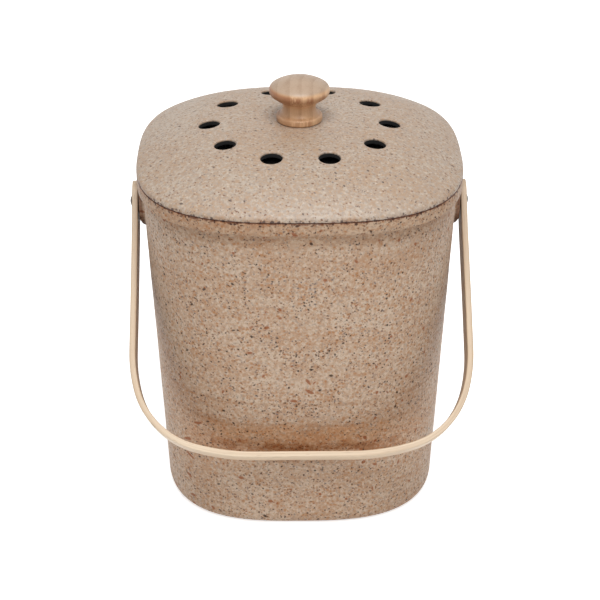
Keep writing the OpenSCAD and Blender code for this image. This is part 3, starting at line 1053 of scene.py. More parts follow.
class Recipe(Nodes):
    """A Geometry Nodes tree with named inputs, which bakes into a plain mesh."""

    def __init__(self, name: str) -> None:
        """Start a tree that takes and gives one geometry.

        Args:
            name: The tree's name.
        """
        tree = bpy.data.node_groups.new(name, "GeometryNodeTree")
        super().__init__(tree)
        for way in ("INPUT", "OUTPUT"):
            tree.interface.new_socket("Geometry", in_out=way, socket_type="NodeSocketGeometry")
        self.entry = tree.nodes.new("NodeGroupInput")
        self.values: dict[str, Any] = {}

    @property
    def source(self) -> Sock:
        """The geometry that the tree is given."""
        return Sock(self, self.entry.outputs["Geometry"])

    def ask(self, name: str, value: float | int | bpy.types.ID) -> Sock:
        """Add a named input to the tree.

        Args:
            name: The input's name.
            value: The value that it is baked with.

        Returns:
            The input.
        """
        kinds = {int: "NodeSocketInt", float: "NodeSocketFloat", bpy.types.Material: "NodeSocketMaterial",
                 bpy.types.Object: "NodeSocketObject"}
        item = self.tree.interface.new_socket(name, in_out="INPUT", socket_type=kinds[type(value)])
        self.values[item.identifier] = value
        return Sock(self, self.entry.outputs[name])

    def turned(self, profile: Sock, sides: Sock) -> Sock:
        """Turn a profile, given as distance from the axis and depth, round the vertical axis.

        Args:
            profile: The profile's edges.
            sides: How many sides the piece has.

        Returns:
            The turned mesh.
        """
        outline = self.add("GeometryNodeMeshToCurve", {}, {"Mesh": profile})
        axis = self.add("GeometryNodeCurvePrimitiveCircle", {}, {"Resolution": sides, "Radius": AXIS_R})
        skin = self.add("GeometryNodeCurveToMesh", {}, {"Curve": axis, "Profile Curve": outline})
        return self.add("GeometryNodeMergeByDistance", {}, {"Geometry": skin, "Distance": 3 * AXIS_R})

    def cut(self, solid: Sock, tool: Sock, operation: str = "DIFFERENCE") -> Sock:
        """Combine two closed meshes.

        Args:
            solid: The mesh that is changed.
            tool: What it is changed by.
            operation: DIFFERENCE, UNION or INTERSECT.

        Returns:
            The result.
        """
        made = self.add("GeometryNodeMeshBoolean", {"operation": operation, "solver": "MANIFOLD"})
        inputs = made.socket.node.inputs
        self.fill(inputs["Mesh 1" if operation == "DIFFERENCE" else "Mesh 2"], solid)
        self.fill(inputs["Mesh 2"], tool)
        return made

    def drilled(self, solid: Sock, radius: float, height: float, sides: int) -> Sock:
        """Drill a level hole right through from side to side.

        Args:
            solid: The mesh.
            radius: The hole's radius.
            height: The height of its axis.
            sides: How many sides it has.

        Returns:
            The drilled mesh.
        """
        sockets = {"Vertices": sides, "Radius": self.ask("Hole Radius", radius), "Depth": 1.0}
        rod = self.add("GeometryNodeMeshCylinder", {}, sockets)
        return self.cut(solid, self.moved(rod, (0.0, 0.0, height), (0.0, math.pi / 2, 0.0)))

    def stored(self, shape: Sock, name: str, value: Sock, kind: str = "FLOAT_VECTOR") -> Sock:
        """Store a value at each point under a name."""
        sockets = {"Geometry": shape, "Name": name, "Value": value}
        return self.add("GeometryNodeStoreNamedAttribute", {"data_type": kind, "domain": "POINT"}, sockets)

    def read(self, name: str, kind: str = "FLOAT_VECTOR") -> Sock:
        """The value that is stored under a name."""
        return self.add("GeometryNodeInputNamedAttribute", {"data_type": kind}, {"Name": name}, "Attribute")

    def moved(self, shape: Sock, by: Point = (0.0, 0.0, 0.0), turn: Point = (0.0, 0.0, 0.0),
              scale: Point = (1.0, 1.0, 1.0)) -> Sock:
        """Scale, turn and move a geometry, in that order."""
        sockets = {"Geometry": shape, "Translation": by, "Rotation": turn, "Scale": scale}
        return self.add("GeometryNodeTransform", {}, sockets)

    def bake(self, shape: Sock, source: bpy.types.Mesh, finish: Finish,
             weighted: bool = True) -> bpy.types.Mesh:
        """Close the tree and apply it to a mesh.

        Args:
            shape: The tree's result.
            source: The mesh that the tree is given.
            finish: What the result is made of.
            weighted: Whether large faces lead the normals.

        Returns:
            The plain mesh.
        """
        skin = self.ask("Finish", finish.material())
        whole = self.add("GeometryNodeRealizeInstances", {}, {"Geometry": shape})
        dressed = self.add("GeometryNodeSetMaterial", {}, {"Geometry": whole, "Material": skin})
        self.tree.links.new(dressed.socket, self.tree.nodes.new("NodeGroupOutput").inputs[0])
        holder = linked(self.tree.name, source)
        modifier = holder.modifiers.new("recipe", "NODES")
        modifier.node_group = self.tree
        for identifier, value in self.values.items():
            modifier[identifier] = value
        plain = tidied(applied(holder), weld=2 * AXIS_R)
        holder.modifiers.clear()
        if weighted:
            holder.data = plain
            holder.modifiers.new("weights", "WEIGHTED_NORMAL").keep_sharp = True
            plain = applied(holder)
        bpy.data.objects.remove(holder)
        return plain


def wire(points: Sequence[Flat], closed: bool, name: str) -> bpy.types.Mesh:
    """A chain of edges in the XY plane.

    Args:
        points: The chain's points.
        closed: Whether its end joins its start.
        name: The mesh's name.

    Returns:
        The chain.
    """
    made = bpy.data.meshes.new(name)
    count = len(points)
    edges = [(i, (i + 1) % count) for i in range(count if closed else count - 1)]
    made.from_pydata([(x, y, 0.0) for x, y in points], edges, [])
    return made


@dataclass(frozen=True)
class Piece:
    """One finished piece of the caddy and what it stands for in the frame."""

    name: str
    body: Body
    finish: Finish
    slot: str
    nodes: tuple[str, ...]

    def place(self, mesh: bpy.types.Mesh) -> bpy.types.Object:
        """Put the piece into the scene on its body.

        Args:
            mesh: The piece's mesh, in the frame's coordinates.

        Returns:
            The piece.
        """
        mesh.name = self.name
        mesh.materials.clear()
        mesh.materials.append(self.finish.material())
        made = linked(self.name, mesh)
        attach(made, self.body.value)
        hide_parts(*self.nodes)
        LOG.info("%s: %d faces on %s", self.name, len(mesh.polygons), self.body.value)
        return made


# ------------------------------------------------------------------------------ the shells


@dataclass(frozen=True)
class Frame:
    """The heights and half widths that the pieces share, read from the construction."""

    seam_z: float
    rim_half: float
    lid_top_z: float
    pivot_z: float
    ear_x: float
    pad_x: float

    @classmethod
    def read(cls) -> Frame:
        """Read them from the nodes' boxes.

        Returns:
            The frame's sizes.
        """
        bin_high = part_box("bin_body")[1]
        knob_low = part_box("knob")[0]
        inner_low, inner_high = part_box("inner_washer_right")
        spacer_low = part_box("spacer_washer_right")[0]
        return cls(bin_high.z, bin_high.x, knob_low.z, (inner_low.z + inner_high.z) / 2,
                   spacer_low.x, inner_high.x)


def waver(points: np.ndarray, scale: float, seed: int, waves: int = 9) -> np.ndarray:
    """Slow, even unevenness from a few crossed waves.

    Args:
        points: Rows of x, y and z.
        scale: Typical length of a wave.
        seed: Which set of waves.
        waves: How many there are.

    Returns:
        One value for each point, from 0 to 1.
    """
    dice = np.random.default_rng(seed)
    total = np.zeros(len(points))
    for _ in range(waves):
        way = dice.normal(size=3)
        way *= FULL_TURN / scale / np.linalg.norm(way) * dice.uniform(0.5, 1.8)
        total += np.sin(points @ way + dice.uniform(0, FULL_TURN))
    return 0.5 + np.clip(total / waves, -0.5, 0.5)


@dataclass(frozen=True)
class BinShell:
    """The bin: a tapered wall between two rounded squares, its rim band, ears and pads."""

    frame: Frame
    finish: Finish
    base: Plan = Plan(82.4 * MM, 81.6 * MM, 2.9)
    base_r: float = 6.9 * MM
    wall_square: float = 2.53
    wall: float = 3.2 * MM
    floor_t: float = 3.6 * MM
    floor_r: float = 3.7 * MM
    rim_square: float = 2.83
    rim_step: float = 2.0 * MM
    rim_h: float = 8.4 * MM
    rim_slope: float = 2.6 * MM
    seam_roll: float = 0.5 * MM
    ear_r: float = 14.3 * MM
    ear_seat: float = 6.3 * MM
    ear_taper: float = 2.4 * MM
    ear_edge: float = 0.9 * MM
    ear_root: float = 5.2 * MM
    ear_lap: float = 3.0 * MM
    pad_r: float = 7.0 * MM
    pad_edge: float = 0.6 * MM
    pad_root: float = 2.2 * MM
    hole_r: float = 2.05 * MM
    uneven: float = 0.16 * MM
    wave: float = 34.0 * MM
    smooth_foot: Flat = (0.5 * MM, 12.0 * MM)
    smooth_top: float = 3.0 * MM
    middle: Flat = (0.15, 0.85)
    columns: int = 320
    row_gap: float = 2.4 * MM
    hole_sides: int = 96

    def plan(self, height: float) -> Plan:
        """The outer wall's outline at a height."""
        top = Plan(*(self.frame.rim_half - self.rim_step,) * 2, self.wall_square)
        return self.base.mix(top, (height - self.base_r) / (self.frame.seam_z - self.base_r))

    def build(self) -> bpy.types.Object:
        """Loft the shell, add the ears and pads, and drill the pivots' holes.

        Returns:
            The bin.
        """
        shell = self._shell()
        recipe = Recipe("bin recipe")
        whole = recipe.source
        for side in Side:
            for outline in (self._ear(side), self._pad(side)):
                tool = recipe.ask(outline.name, outline)
                solid = recipe.add("GeometryNodeObjectInfo", {}, {"Object": tool}, "Geometry")
                whole = recipe.cut(whole, solid, "UNION")
        whole = recipe.drilled(whole, self.hole_r, self.frame.pivot_z, self.hole_sides)
        mesh = recipe.bake(whole, shell, self.finish, weighted=False)
        piece = Piece("bin_shell", Body.BIN, self.finish, "bin_composite", ("bin_body",))
        return piece.place(mesh)

    def _shell(self) -> bpy.types.Mesh:
        """Loft the shell, from the base's middle out, up, over the seam, down and in along the floor.

        Returns:
            The shell without its ears and pads.
        """
        turns = np.linspace(0, FULL_TURN, self.columns, endpoint=False)
        seam = self.frame.seam_z
        rim = Plan(self.frame.rim_half, self.frame.rim_half, self.rim_square)
        foot = seam - self.rim_h
        low = foot - self.rim_slope * 0.5
        high = foot + self.rim_slope * 0.5
        rows: list[np.ndarray] = []
        for share in np.linspace(*self.middle, 5):
            rows.append(self.base.inset(self.base_r).ring(turns, 0.0) * (share, share, 1))
        rows += self.base.rolled(turns, (self.base_r,) * 2, (self.base_r,) * 2, swing(-90, 0, 12))
        rows += [self.plan(z).ring(turns, z) for z in self._heights(self.base_r, low)]
        for share in np.linspace(0, 1, 9)[1:]:
            z = low + (high - low) * share
            step = share * share * (3 - 2 * share)
            reach = self.plan(z).reach(turns) * (1 - step) + rim.reach(turns) * step
            rows.append(polar(reach, turns, z))
        rows += [rim.ring(turns, z) for z in np.linspace(high, seam - self.seam_roll, 5)[1:]]
        roll = self.seam_roll
        rows += rim.rolled(turns, (roll, seam - roll), (roll, roll), swing(0, 90, 4)[1:])
        floor = self.floor_t + self.floor_r
        inner = [self.plan(z).inset(self.wall).ring(turns, z) for z in self._heights(floor, seam)]
        inner.insert(0, self.plan(floor).inset(self.wall).ring(turns, floor))
        rows += inner[::-1]
        for lift in swing(0, 90, 6)[1:]:
            z = floor - self.floor_r * math.sin(lift)
            inset = self.wall + self.floor_r * (1 - math.cos(lift))
            rows.append(self.plan(z).inset(inset).ring(turns, z))
        rows += [rows[-1] * (share, share, 1) for share in np.linspace(*self.middle[::-1], 5)]
        return self._loft(rows)

    def _heights(self, start: float, end: float) -> np.ndarray:
        """Even heights past start, up to and with end."""
        count = max(2, round((end - start) / self.row_gap))
        return np.linspace(start, end, count + 1)[1:]

    def _loft(self, rows: list[np.ndarray]) -> bpy.types.Mesh:
        """Join the rows, slightly uneven but for the foot and the seam.

        Args:
            rows: The rows, from the base's middle round to the floor's middle.

        Returns:
            The closed mesh.
        """
        draft = Draft()
        numbers = []
        for row in rows:
            free = np.clip((row[:, 2] - self.smooth_foot[0]) / self.smooth_foot[1], 0, 1)
            free *= np.clip((self.frame.seam_z - row[:, 2]) / self.smooth_top, 0, 1)
            shrink = self.uneven * free * waver(row, self.wave, SEED) / np.linalg.norm(row[:, :2], axis=1)
            numbers.append(draft.row(row * np.stack((1 - shrink, 1 - shrink, np.ones(len(row))), axis=1)))
        draft.skin(numbers)
        draft.fan(numbers[0], (0.0, 0.0, 0.0))
        draft.fan(numbers[-1], (0.0, 0.0, self.floor_t))
        return draft.mesh("bin loft")

    def _ear(self, side: Side) -> bpy.types.Object:
        """Make the tongue that carries one pivot, with its outer edge rounded and its foot thinned.

        Args:
            side: Which side it is on.

        Returns:
            The tongue, as a tool.
        """
        turns = swing(180, 360, 48)
        rows = []
        back = self.frame.ear_x - self.ear_root
        face = self.frame.ear_x - self.ear_edge
        insets = [(back, 0.0)] + [(face + self.ear_edge * math.sin(a), self.ear_edge * (1 - math.cos(a)))
                                  for a in swing(0, 90, 5)]
        for x, inset in insets:
            reach = self.ear_r - inset
            y, z = reach * np.cos(turns), self.frame.pivot_z + reach * np.sin(turns)
            top = self.frame.seam_z - self.rim_h + self.ear_lap - inset
            y, z = np.append(y, (reach, -reach)), np.append(z, (top, top))
            below = (self.frame.pivot_z - self.ear_seat - z) / (self.ear_r - self.ear_seat)
            thin = self.ear_taper * np.clip(below, 0, 1) * (x > back)
            rows.append(np.stack(((x - thin) * side.value, y, z), axis=1))
        return self._plug(f"ear {side.word}", rows, self.frame.pivot_z)

    def _pad(self, side: Side) -> bpy.types.Object:
        """Make the flat round pad inside the wall, which the inner washer seats on.

        Args:
            side: Which side it is on.

        Returns:
            The pad, as a tool.
        """
        turns = np.linspace(0, FULL_TURN, 72, endpoint=False)
        rows = []
        soft = self.pad_edge
        edge = [(soft * (1 - math.cos(a)), soft * (1 - math.sin(a))) for a in swing(0, 90, 4)]
        for inset, depth in [(0.0, self.pad_root)] + edge:
            x = self.frame.pad_x + depth
            ring = polar(self.pad_r - inset, turns, 0.0)
            rows.append(np.stack((np.full(len(ring), x * side.value), ring[:, 0],
                                  self.frame.pivot_z + ring[:, 1]), axis=1))
        return self._plug(f"pad {side.word}", rows, self.frame.pivot_z)

    @staticmethod
    def _plug(name: str, rows: list[np.ndarray], height: float) -> bpy.types.Object:
        """Close a plug through rows of points.

        Args:
            name: The plug's name.
            rows: Its rows, each at one x.
            height: Where the middles of its ends are.

        Returns:
            The plug, as a tool that isn't rendered.
        """
        draft = Draft()
        numbers = [draft.row(row) for row in rows]
        draft.skin(numbers)
        draft.fan(numbers[0], (float(rows[0][0, 0]), 0.0, height))
        draft.fan(numbers[-1], (float(rows[-1][0, 0]), 0.0, height))
        return bpy.data.objects.new(name, draft.mesh(name))


@dataclass(frozen=True)
class LidDome:
    """The lid: a flat-centred dome with ten vents, a rolled edge, a skirt and a collar."""

    frame: Frame
    finish: Finish
    rim_square: float = 2.83
    edge_r: float = 5.0 * MM
    edge_turn: float = math.radians(56)
    thick: float = 3.6 * MM
    flat: float = 15.0 * MM
    seam_gap: float = 0.2 * MM
    seam_roll: float = 0.5 * MM
    skirt: Plan = Plan(87.994 * MM, 87.994 * MM, 2.53)
    skirt_foot: float = 9.6 * MM
    skirt_t: float = 2.6 * MM
    skirt_soft: float = 0.8 * MM
    collar_in: float = 64.0 * MM
    collar_out: float = 66.5 * MM
    collar_foot: float = 209.0 * MM
    bore_r: float = 2.3 * MM
    vents: int = 10
    vent_r: float = 6.25 * MM
    vent_ring: float = 52.5 * MM
    lip: float = 0.8 * MM
    under_lip: float = 0.4 * MM
    patch_half: float = 8.25 * MM
    patch_steps: int = 16
    uneven: float = 0.12 * MM
    wave: float = 30.0 * MM
    smooth_middle: Flat = (16.0 * MM, 8.0 * MM)
    smooth_edge: float = 6.0 * MM
    columns: int = 320

    @property
    def edge_in(self) -> float:
        """How far the rolled edge leans in."""
        return self.edge_r * (1 - math.cos(self.edge_turn))

    @property
    def edge_up(self) -> float:
        """Height of the rolled edge over the seam."""
        return self.edge_r * math.sin(self.edge_turn)

    @property
    def dome_half(self) -> float:
        """Half width of the dome inside the rolled edge."""
        return self.frame.rim_half - self.edge_in

    def height(self, points: np.ndarray) -> np.ndarray:
        """Find the dome's height, by halving in on each point's share of the half width.

        Args:
            points: Rows that start with x and y.

        Returns:
            A height for each row.
        """
        low, high = np.full(len(points), 1e-6), np.full(len(points), 1.2)
        flat = abs(points[:, :2]) / self.dome_half
        for _ in range(40):
            mid = (low + high) / 2
            square = (2 + (self.rim_square - 2) * np.minimum(mid, 1))[:, None]
            outside = ((flat / mid[:, None]) ** square).sum(axis=1) > 1
            low, high = np.where(outside, mid, low), np.where(outside, high, mid)
        rise = self.frame.lid_top_z - self.frame.seam_z - self.edge_up
        power = math.tan(math.pi / 2 - self.edge_turn) * self.dome_half / rise
        fall = (self.flat / self.dome_half) ** power
        return self.frame.lid_top_z - rise * np.maximum(low**power - fall, 0) / (1 - fall)

    def _top(self, reach: float | np.ndarray, turns: np.ndarray, drop: float = 0.0) -> np.ndarray:
        """Lay a row on the dome, slightly uneven but for its middle and its edge.

        Args:
            reach: Distance from the axis.
            turns: Angle of each point.
            drop: How far the row lies below the dome.

        Returns:
            The row.
        """
        row = polar(reach, turns, 0.0)
        row[:, 2] = self.height(row) - drop
        far = np.linalg.norm(row[:, :2], axis=1)
        free = np.clip((far - self.smooth_middle[0]) / self.smooth_middle[1], 0, 1)
        free *= np.clip((self.dome_half - far) / self.smooth_edge, 0, 1)
        row[:, 2] -= self.uneven * free * waver(row, self.wave, SEED + 1)
        return row

    def build(self) -> bpy.types.Object:
        """Loft the lid round its section and let the vents into it.

        Returns:
            The lid.
        """
        draft = Draft()
        turns = -math.pi / 2 + np.linspace(0, FULL_TURN, self.columns, endpoint=False)
        edges = self.vent_ring + np.linspace(-self.patch_half, self.patch_half, self.patch_steps + 1)
        inner = np.linspace(self.bore_r, edges[0], 16)[:-1]
        top = [draft.row(self._top(r, turns)) for r in inner]
        top_patch = [draft.row(self._top(r, turns)) for r in edges]
        outer = self._outside(draft, turns, edges[-1])
        rim = self._rim(draft, turns)
        under = [draft.row(self._top(r, turns, self.thick)) for r in inner]
        under_patch = [draft.row(self._top(r, turns, self.thick)) for r in edges]
        span, half = self.columns // self.vents, self.patch_steps // 2
        skip = [i * span + span // 2 + k for i in range(self.vents) for k in range(-half, half)]
        draft.skin(top_patch, skip)
        draft.skin(under_patch, skip)
        draft.skin(top_patch[-1:] + outer + rim + under_patch[-1:])
        draft.skin(top_patch[:1] + top[::-1] + under + under_patch[:1])
        for vent in range(self.vents):
            self._vent(draft, vent, turns, top_patch, under_patch)
        mesh = draft.mesh("lid loft")
        spots = np.empty(len(mesh.vertices) * 3, dtype=np.float32)
        mesh.vertices.foreach_get("co", spots)
        depth = self.height(spots.reshape(-1, 3)) - spots[2::3]
        mesh.attributes.new(Vents.attribute, "FLOAT", "POINT").data.foreach_set("value", depth)
        piece = Piece("lid_dome", Body.LID, self.finish, "lid_composite", ("lid",))
        return piece.place(mesh)

    def _outside(self, draft: Draft, turns: np.ndarray, start: float) -> list[np.ndarray]:
        """Rows of the dome from a start past the vents out to the rolled edge."""
        edge = Plan(self.dome_half, self.dome_half, self.rim_square).reach(turns)
        return [draft.row(self._top(start + (edge - start) * s, turns)) for s in np.linspace(0, 1, 29)[1:]]

    def _rim(self, draft: Draft, turns: np.ndarray) -> list[np.ndarray]:
        """Go down the rolled edge, in over the seam, round the skirt and round the collar.

        Args:
            draft: The lid's mesh.
            turns: Angle of each column.

        Returns:
            The rows' numbers.
        """
        seam, gap = self.frame.seam_z, self.seam_gap
        rim, roll = Plan(self.frame.rim_half, self.frame.rim_half, self.rim_square), self.seam_roll
        low = seam + gap + roll
        edge = (self.edge_r, (self.edge_up - gap - roll) / math.sin(self.edge_turn))
        rows = rim.rolled(turns, (self.edge_r, low), edge, np.linspace(self.edge_turn, 0, 13)[1:])
        rows += rim.rolled(turns, (roll, low), (roll, roll), swing(0, -90, 4)[1:])
        rows.append(self.skirt.ring(turns, seam + gap))
        foot, soft = seam - self.skirt_foot, self.skirt_soft
        rows += [self.skirt.ring(turns, z) for z in np.linspace(seam, foot + soft, 5)]
        half = self.skirt_t / 2
        rows += self.skirt.rolled(turns, (half, foot + soft), (half, soft), swing(0, -180, 8)[1:-1])
        inside = self.skirt.inset(self.skirt_t)
        root = self._top(inside.reach(turns), turns, self.thick)
        for share in np.linspace(0, 1, 5):
            row = inside.ring(turns, foot + soft)
            row[:, 2] += (root[:, 2] - row[:, 2]) * share
            rows.append(row)
        for share in np.linspace(1, 0, 10)[1:]:
            reach = self.collar_out + (inside.reach(turns) - self.collar_out) * share
            rows.append(self._top(reach, turns, self.thick))
        for reach in (self.collar_out, self.collar_in):
            rows.append(polar(reach, turns, self.collar_foot))
        rows.append(self._top(self.collar_in, turns, self.thick))
        return [draft.row(row) for row in rows]

    def _vent(self, draft: Draft, vent: int, turns: np.ndarray, top: list[np.ndarray],
              under: list[np.ndarray]) -> None:
        """Let one vent in: a square patch of the dome drawn into a round, soft-lipped hole.

        Args:
            draft: The lid's mesh.
            vent: The vent's number.
            turns: Angle of each column.
            top: Rows of the patch on the dome.
            under: Rows of the patch below it.
        """
        span = self.columns // self.vents
        middle = vent * span + span // 2
        half = self.patch_steps // 2
        turn = turns[middle]
        centre = np.array((self.vent_ring * math.cos(turn), self.vent_ring * math.sin(turn)))
        across = range(middle - half, middle + half + 1)
        loop = [(0, j) for j in across] + [(k, middle + half) for k in range(1, 2 * half)]
        loop += [(2 * half, j) for j in reversed(across)]
        loop += [(k, middle - half) for k in range(2 * half - 1, 0, -1)]
        upper = np.array([top[k][j] for k, j in loop])
        lower = np.array([under[k][j] for k, j in loop])
        points = np.concatenate(draft.points)[upper][:, :2]
        around = np.arctan2(points[:, 1] - centre[1], points[:, 0] - centre[0])

        def ring(reach: float) -> np.ndarray:
            """A circle of points round the vent."""
            return centre + reach * np.stack((np.cos(around), np.sin(around)), axis=1)

        def lay(flat: np.ndarray, drop: float) -> np.ndarray:
            """Points laid on the dome, or below it, as a row."""
            far = np.linalg.norm(flat, axis=1)
            return draft.row(self._top(far, np.arctan2(flat[:, 1], flat[:, 0]), drop))

        wide, tight = self.vent_r + self.lip, self.vent_r
        rows = [upper]
        rows += [lay(points + (ring(wide) - points) * s, 0.0) for s in (0.35, 0.7, 1.0)]
        for lift in swing(0, 90, 6)[1:]:
            rows.append(lay(ring(wide - self.lip * math.sin(lift)), self.lip * (1 - math.cos(lift))))
        rows.append(lay(ring(tight), (self.lip + self.thick - self.under_lip) / 2))
        for lift in swing(90, 0, 3):
            reach = tight + self.under_lip * (1 - math.sin(lift))
            rows.append(lay(ring(reach), self.thick - self.under_lip * (1 - math.cos(lift))))
        rows += [lay(points + (ring(tight + self.under_lip) - points) * s, self.thick) for s in (0.6, 0.3)]
        draft.skin(rows + [lower])


# ------------------------------------------------------------------------------ turned pieces


@dataclass(frozen=True)
class Turned:
    """A piece turned from an outline of distances from its axis and distances along it."""

    piece: Piece
    outline: tuple[Flat, ...]
    closed: bool
    origin: Point
    turn: Point = (0.0, 0.0, 0.0)
    sides: int = 96
    weighted: bool = True

    def build(self) -> bpy.types.Object:
        """Turn the outline, lay its axis and bake it.

        Returns:
            The piece.
        """
        recipe = Recipe(f"{self.piece.name} recipe")
        blank = recipe.turned(recipe.source, recipe.ask("Sides", self.sides))
        laid = recipe.moved(self.worked(recipe, blank), self.origin, self.turn)
        section = wire([(r, -z) for r, z in self.outline], self.closed, f"{self.piece.name} section")
        return self.piece.place(recipe.bake(laid, section, self.piece.finish, self.weighted))

    def worked(self, recipe: Recipe, blank: Sock) -> Sock:
        """What is done to the blank after turning: nothing here."""
        return blank


@dataclass(frozen=True)
class HexNut(Turned):
    """A domed nut: the turned blank kept inside a hexagon."""

    flats: float = 7.0 * MM
    tool_long: float = 40.0 * MM

    def worked(self, recipe: Recipe, blank: Sock) -> Sock:
        """Mill the hexagon's flats.

        Args:
            recipe: The piece's tree.
            blank: The turned blank.

        Returns:
            The worked piece.
        """
        across = recipe.ask("Across Flats", self.flats)
        sockets = {"Vertices": 6, "Radius": across * (0.5 / math.cos(math.pi / 6)), "Depth": self.tool_long}
        prism = recipe.add("GeometryNodeMeshCylinder", {}, sockets)
        turned = recipe.moved(prism, turn=(0.0, 0.0, math.pi / 6))
        return recipe.cut(blank, turned, "INTERSECT")


@dataclass(frozen=True)
class CrossHead(Turned):
    """A pan-head screw with a cross recess in its lower face."""

    arm: float = 4.2 * MM
    width: float = 1.0 * MM
    depth: float = 1.3 * MM

    def worked(self, recipe: Recipe, blank: Sock) -> Sock:
        """Sink the two arms of the recess.

        Args:
            recipe: The piece's tree.
            blank: The turned blank.

        Returns:
            The worked piece.
        """
        whole = blank
        for turn in (0.0, math.pi / 2):
            bar = recipe.add("GeometryNodeMeshCube", {}, {"Size": (self.arm, self.width, 2 * self.depth)})
            whole = recipe.cut(whole, recipe.moved(bar, turn=(0.0, 0.0, turn)))
        return whole


@dataclass(frozen=True)
class SlottedTray(Turned):
    """The filter's tray, turned and then cut by two rings of radial slots."""

    slots: int = 12
    slot_w: float = 3.4 * MM
    inner: Flat = (13.0 * MM, 29.0 * MM)
    outer: Flat = (35.0 * MM, 55.0 * MM)
    tool_half: float = 20.0 * MM

    def worked(self, recipe: Recipe, blank: Sock) -> Sock:
        """Cut the slots with cutters set round the axis.

        Args:
            recipe: The piece's tree.
            blank: The turned blank.

        Returns:
            The worked piece.
        """
        width = recipe.ask("Slot Width", self.slot_w)
        whole = blank
        for name, reach, share, shift in (("Inner", self.inner, 1, 0.0), ("Outer", self.outer, 2, 0.5)):
            count = recipe.ask(f"{name} Slots", self.slots * share)
            long = reach[1] - reach[0]
            sockets = {"Width": long + self.slot_w, "Height": width}
            quad = recipe.add("GeometryNodeCurvePrimitiveQuadrilateral", {}, sockets)
            ends = recipe.add("GeometryNodeFilletCurve", {"mode": "POLY"},
                              {"Curve": quad, "Count": 8, "Radius": width * 0.499, "Limit Radius": True})
            rail = recipe.add("GeometryNodeCurvePrimitiveLine", {},
                              {"Start": (0.0, 0.0, -self.tool_half), "End": (0.0, 0.0, self.tool_half)})
            prism = recipe.add("GeometryNodeCurveToMesh", {},
                               {"Curve": rail, "Profile Curve": ends, "Fill Caps": True})
            placed = recipe.moved(prism, (reach[0] + long / 2, 0.0, 0.0))
            spots = recipe.add("GeometryNodeMeshLine", {"mode": "OFFSET", "count_mode": "TOTAL"},
                               {"Count": count, "Offset": (0.0, 0.0, 0.0)})
            number = recipe.add("GeometryNodeInputIndex")
            angle = (number + shift) * (FULL_TURN / (self.slots * share))
            lean = recipe.add("ShaderNodeCombineXYZ", {}, {"Z": angle})
            ring = recipe.add("GeometryNodeInstanceOnPoints", {},
                              {"Points": spots, "Instance": placed, "Rotation": lean})
            tools = recipe.add("GeometryNodeRealizeInstances", {}, {"Geometry": ring})
            whole = recipe.cut(whole, tools)
        return whole


@dataclass(frozen=True)
class KnobShape:
    """The knob's sizes, in millimetres over its foot, and the slope under its cap, in degrees."""

    height: float = 26.2
    wide: float = 17.6
    wide_z: float = 18.6
    edge: float = 3.8
    slope: float = 36.0
    fillet: float = 3.4
    neck: float = 9.5
    base: float = 13.4
    drum: float = 4.3
    soft: float = 1.3
    cove_tall: float = 1.8
    cove_start: float = 262.0
    bore_r: float = 3.05
    bore: float = 12.0
    crown_start: float = 0.93

    def outline(self) -> tuple[Flat, ...]:
        """Draw the outline from the bore's end round to the middle of the top.

        Returns:
            Distances from the axis and heights, in metres.
        """
        slope, cove = math.radians(self.slope), self.base - self.soft - self.neck
        hub, rise = self.wide - self.edge, self.height - self.wide_z
        slope_x, slope_z = hub + self.edge * math.sin(slope), self.wide_z - self.edge * math.cos(slope)
        fillet_x = self.neck + self.fillet * (1 - math.sin(slope))
        fillet_z = slope_z - (slope_x - fillet_x) * math.tan(slope) - self.fillet * math.cos(slope)
        crown = (hub**2 + rise**2 - self.edge**2) / 2 / (rise - self.edge)
        turn = math.degrees(math.asin(hub / (crown - self.edge)))
        chain = [(0.0, self.bore), (self.bore_r, self.bore), (self.bore_r, 0.0)]
        chain += arc((self.base - self.soft, self.soft), self.soft, -90, 0, 6)
        chain += arc((self.base - self.soft, self.drum - self.soft), self.soft, 0, 90, 6)
        chain += [(x, self.drum + (z - self.drum) * self.cove_tall)
                  for x, z in arc((self.neck + cove, self.drum + cove), cove, self.cove_start, 180, 14)]
        chain += arc((self.neck + self.fillet, fillet_z), self.fillet, 180, 90 + self.slope, 6)
        chain += arc((hub, self.wide_z), self.edge, self.slope - 90, 90 - turn, 22)
        chain += arc((0.0, self.height - crown), crown, 90 - turn * self.crown_start, 90, 14)
        return tuple((x * MM, z * MM) for x, z in chain)


def outline(*corners: Corner, closed: bool = False) -> tuple[Flat, ...]:
    """An outline given in millimetres, as corners with their radii."""
    return tuple(rounded([(x * MM, z * MM, r * MM) for x, z, r in corners], closed))


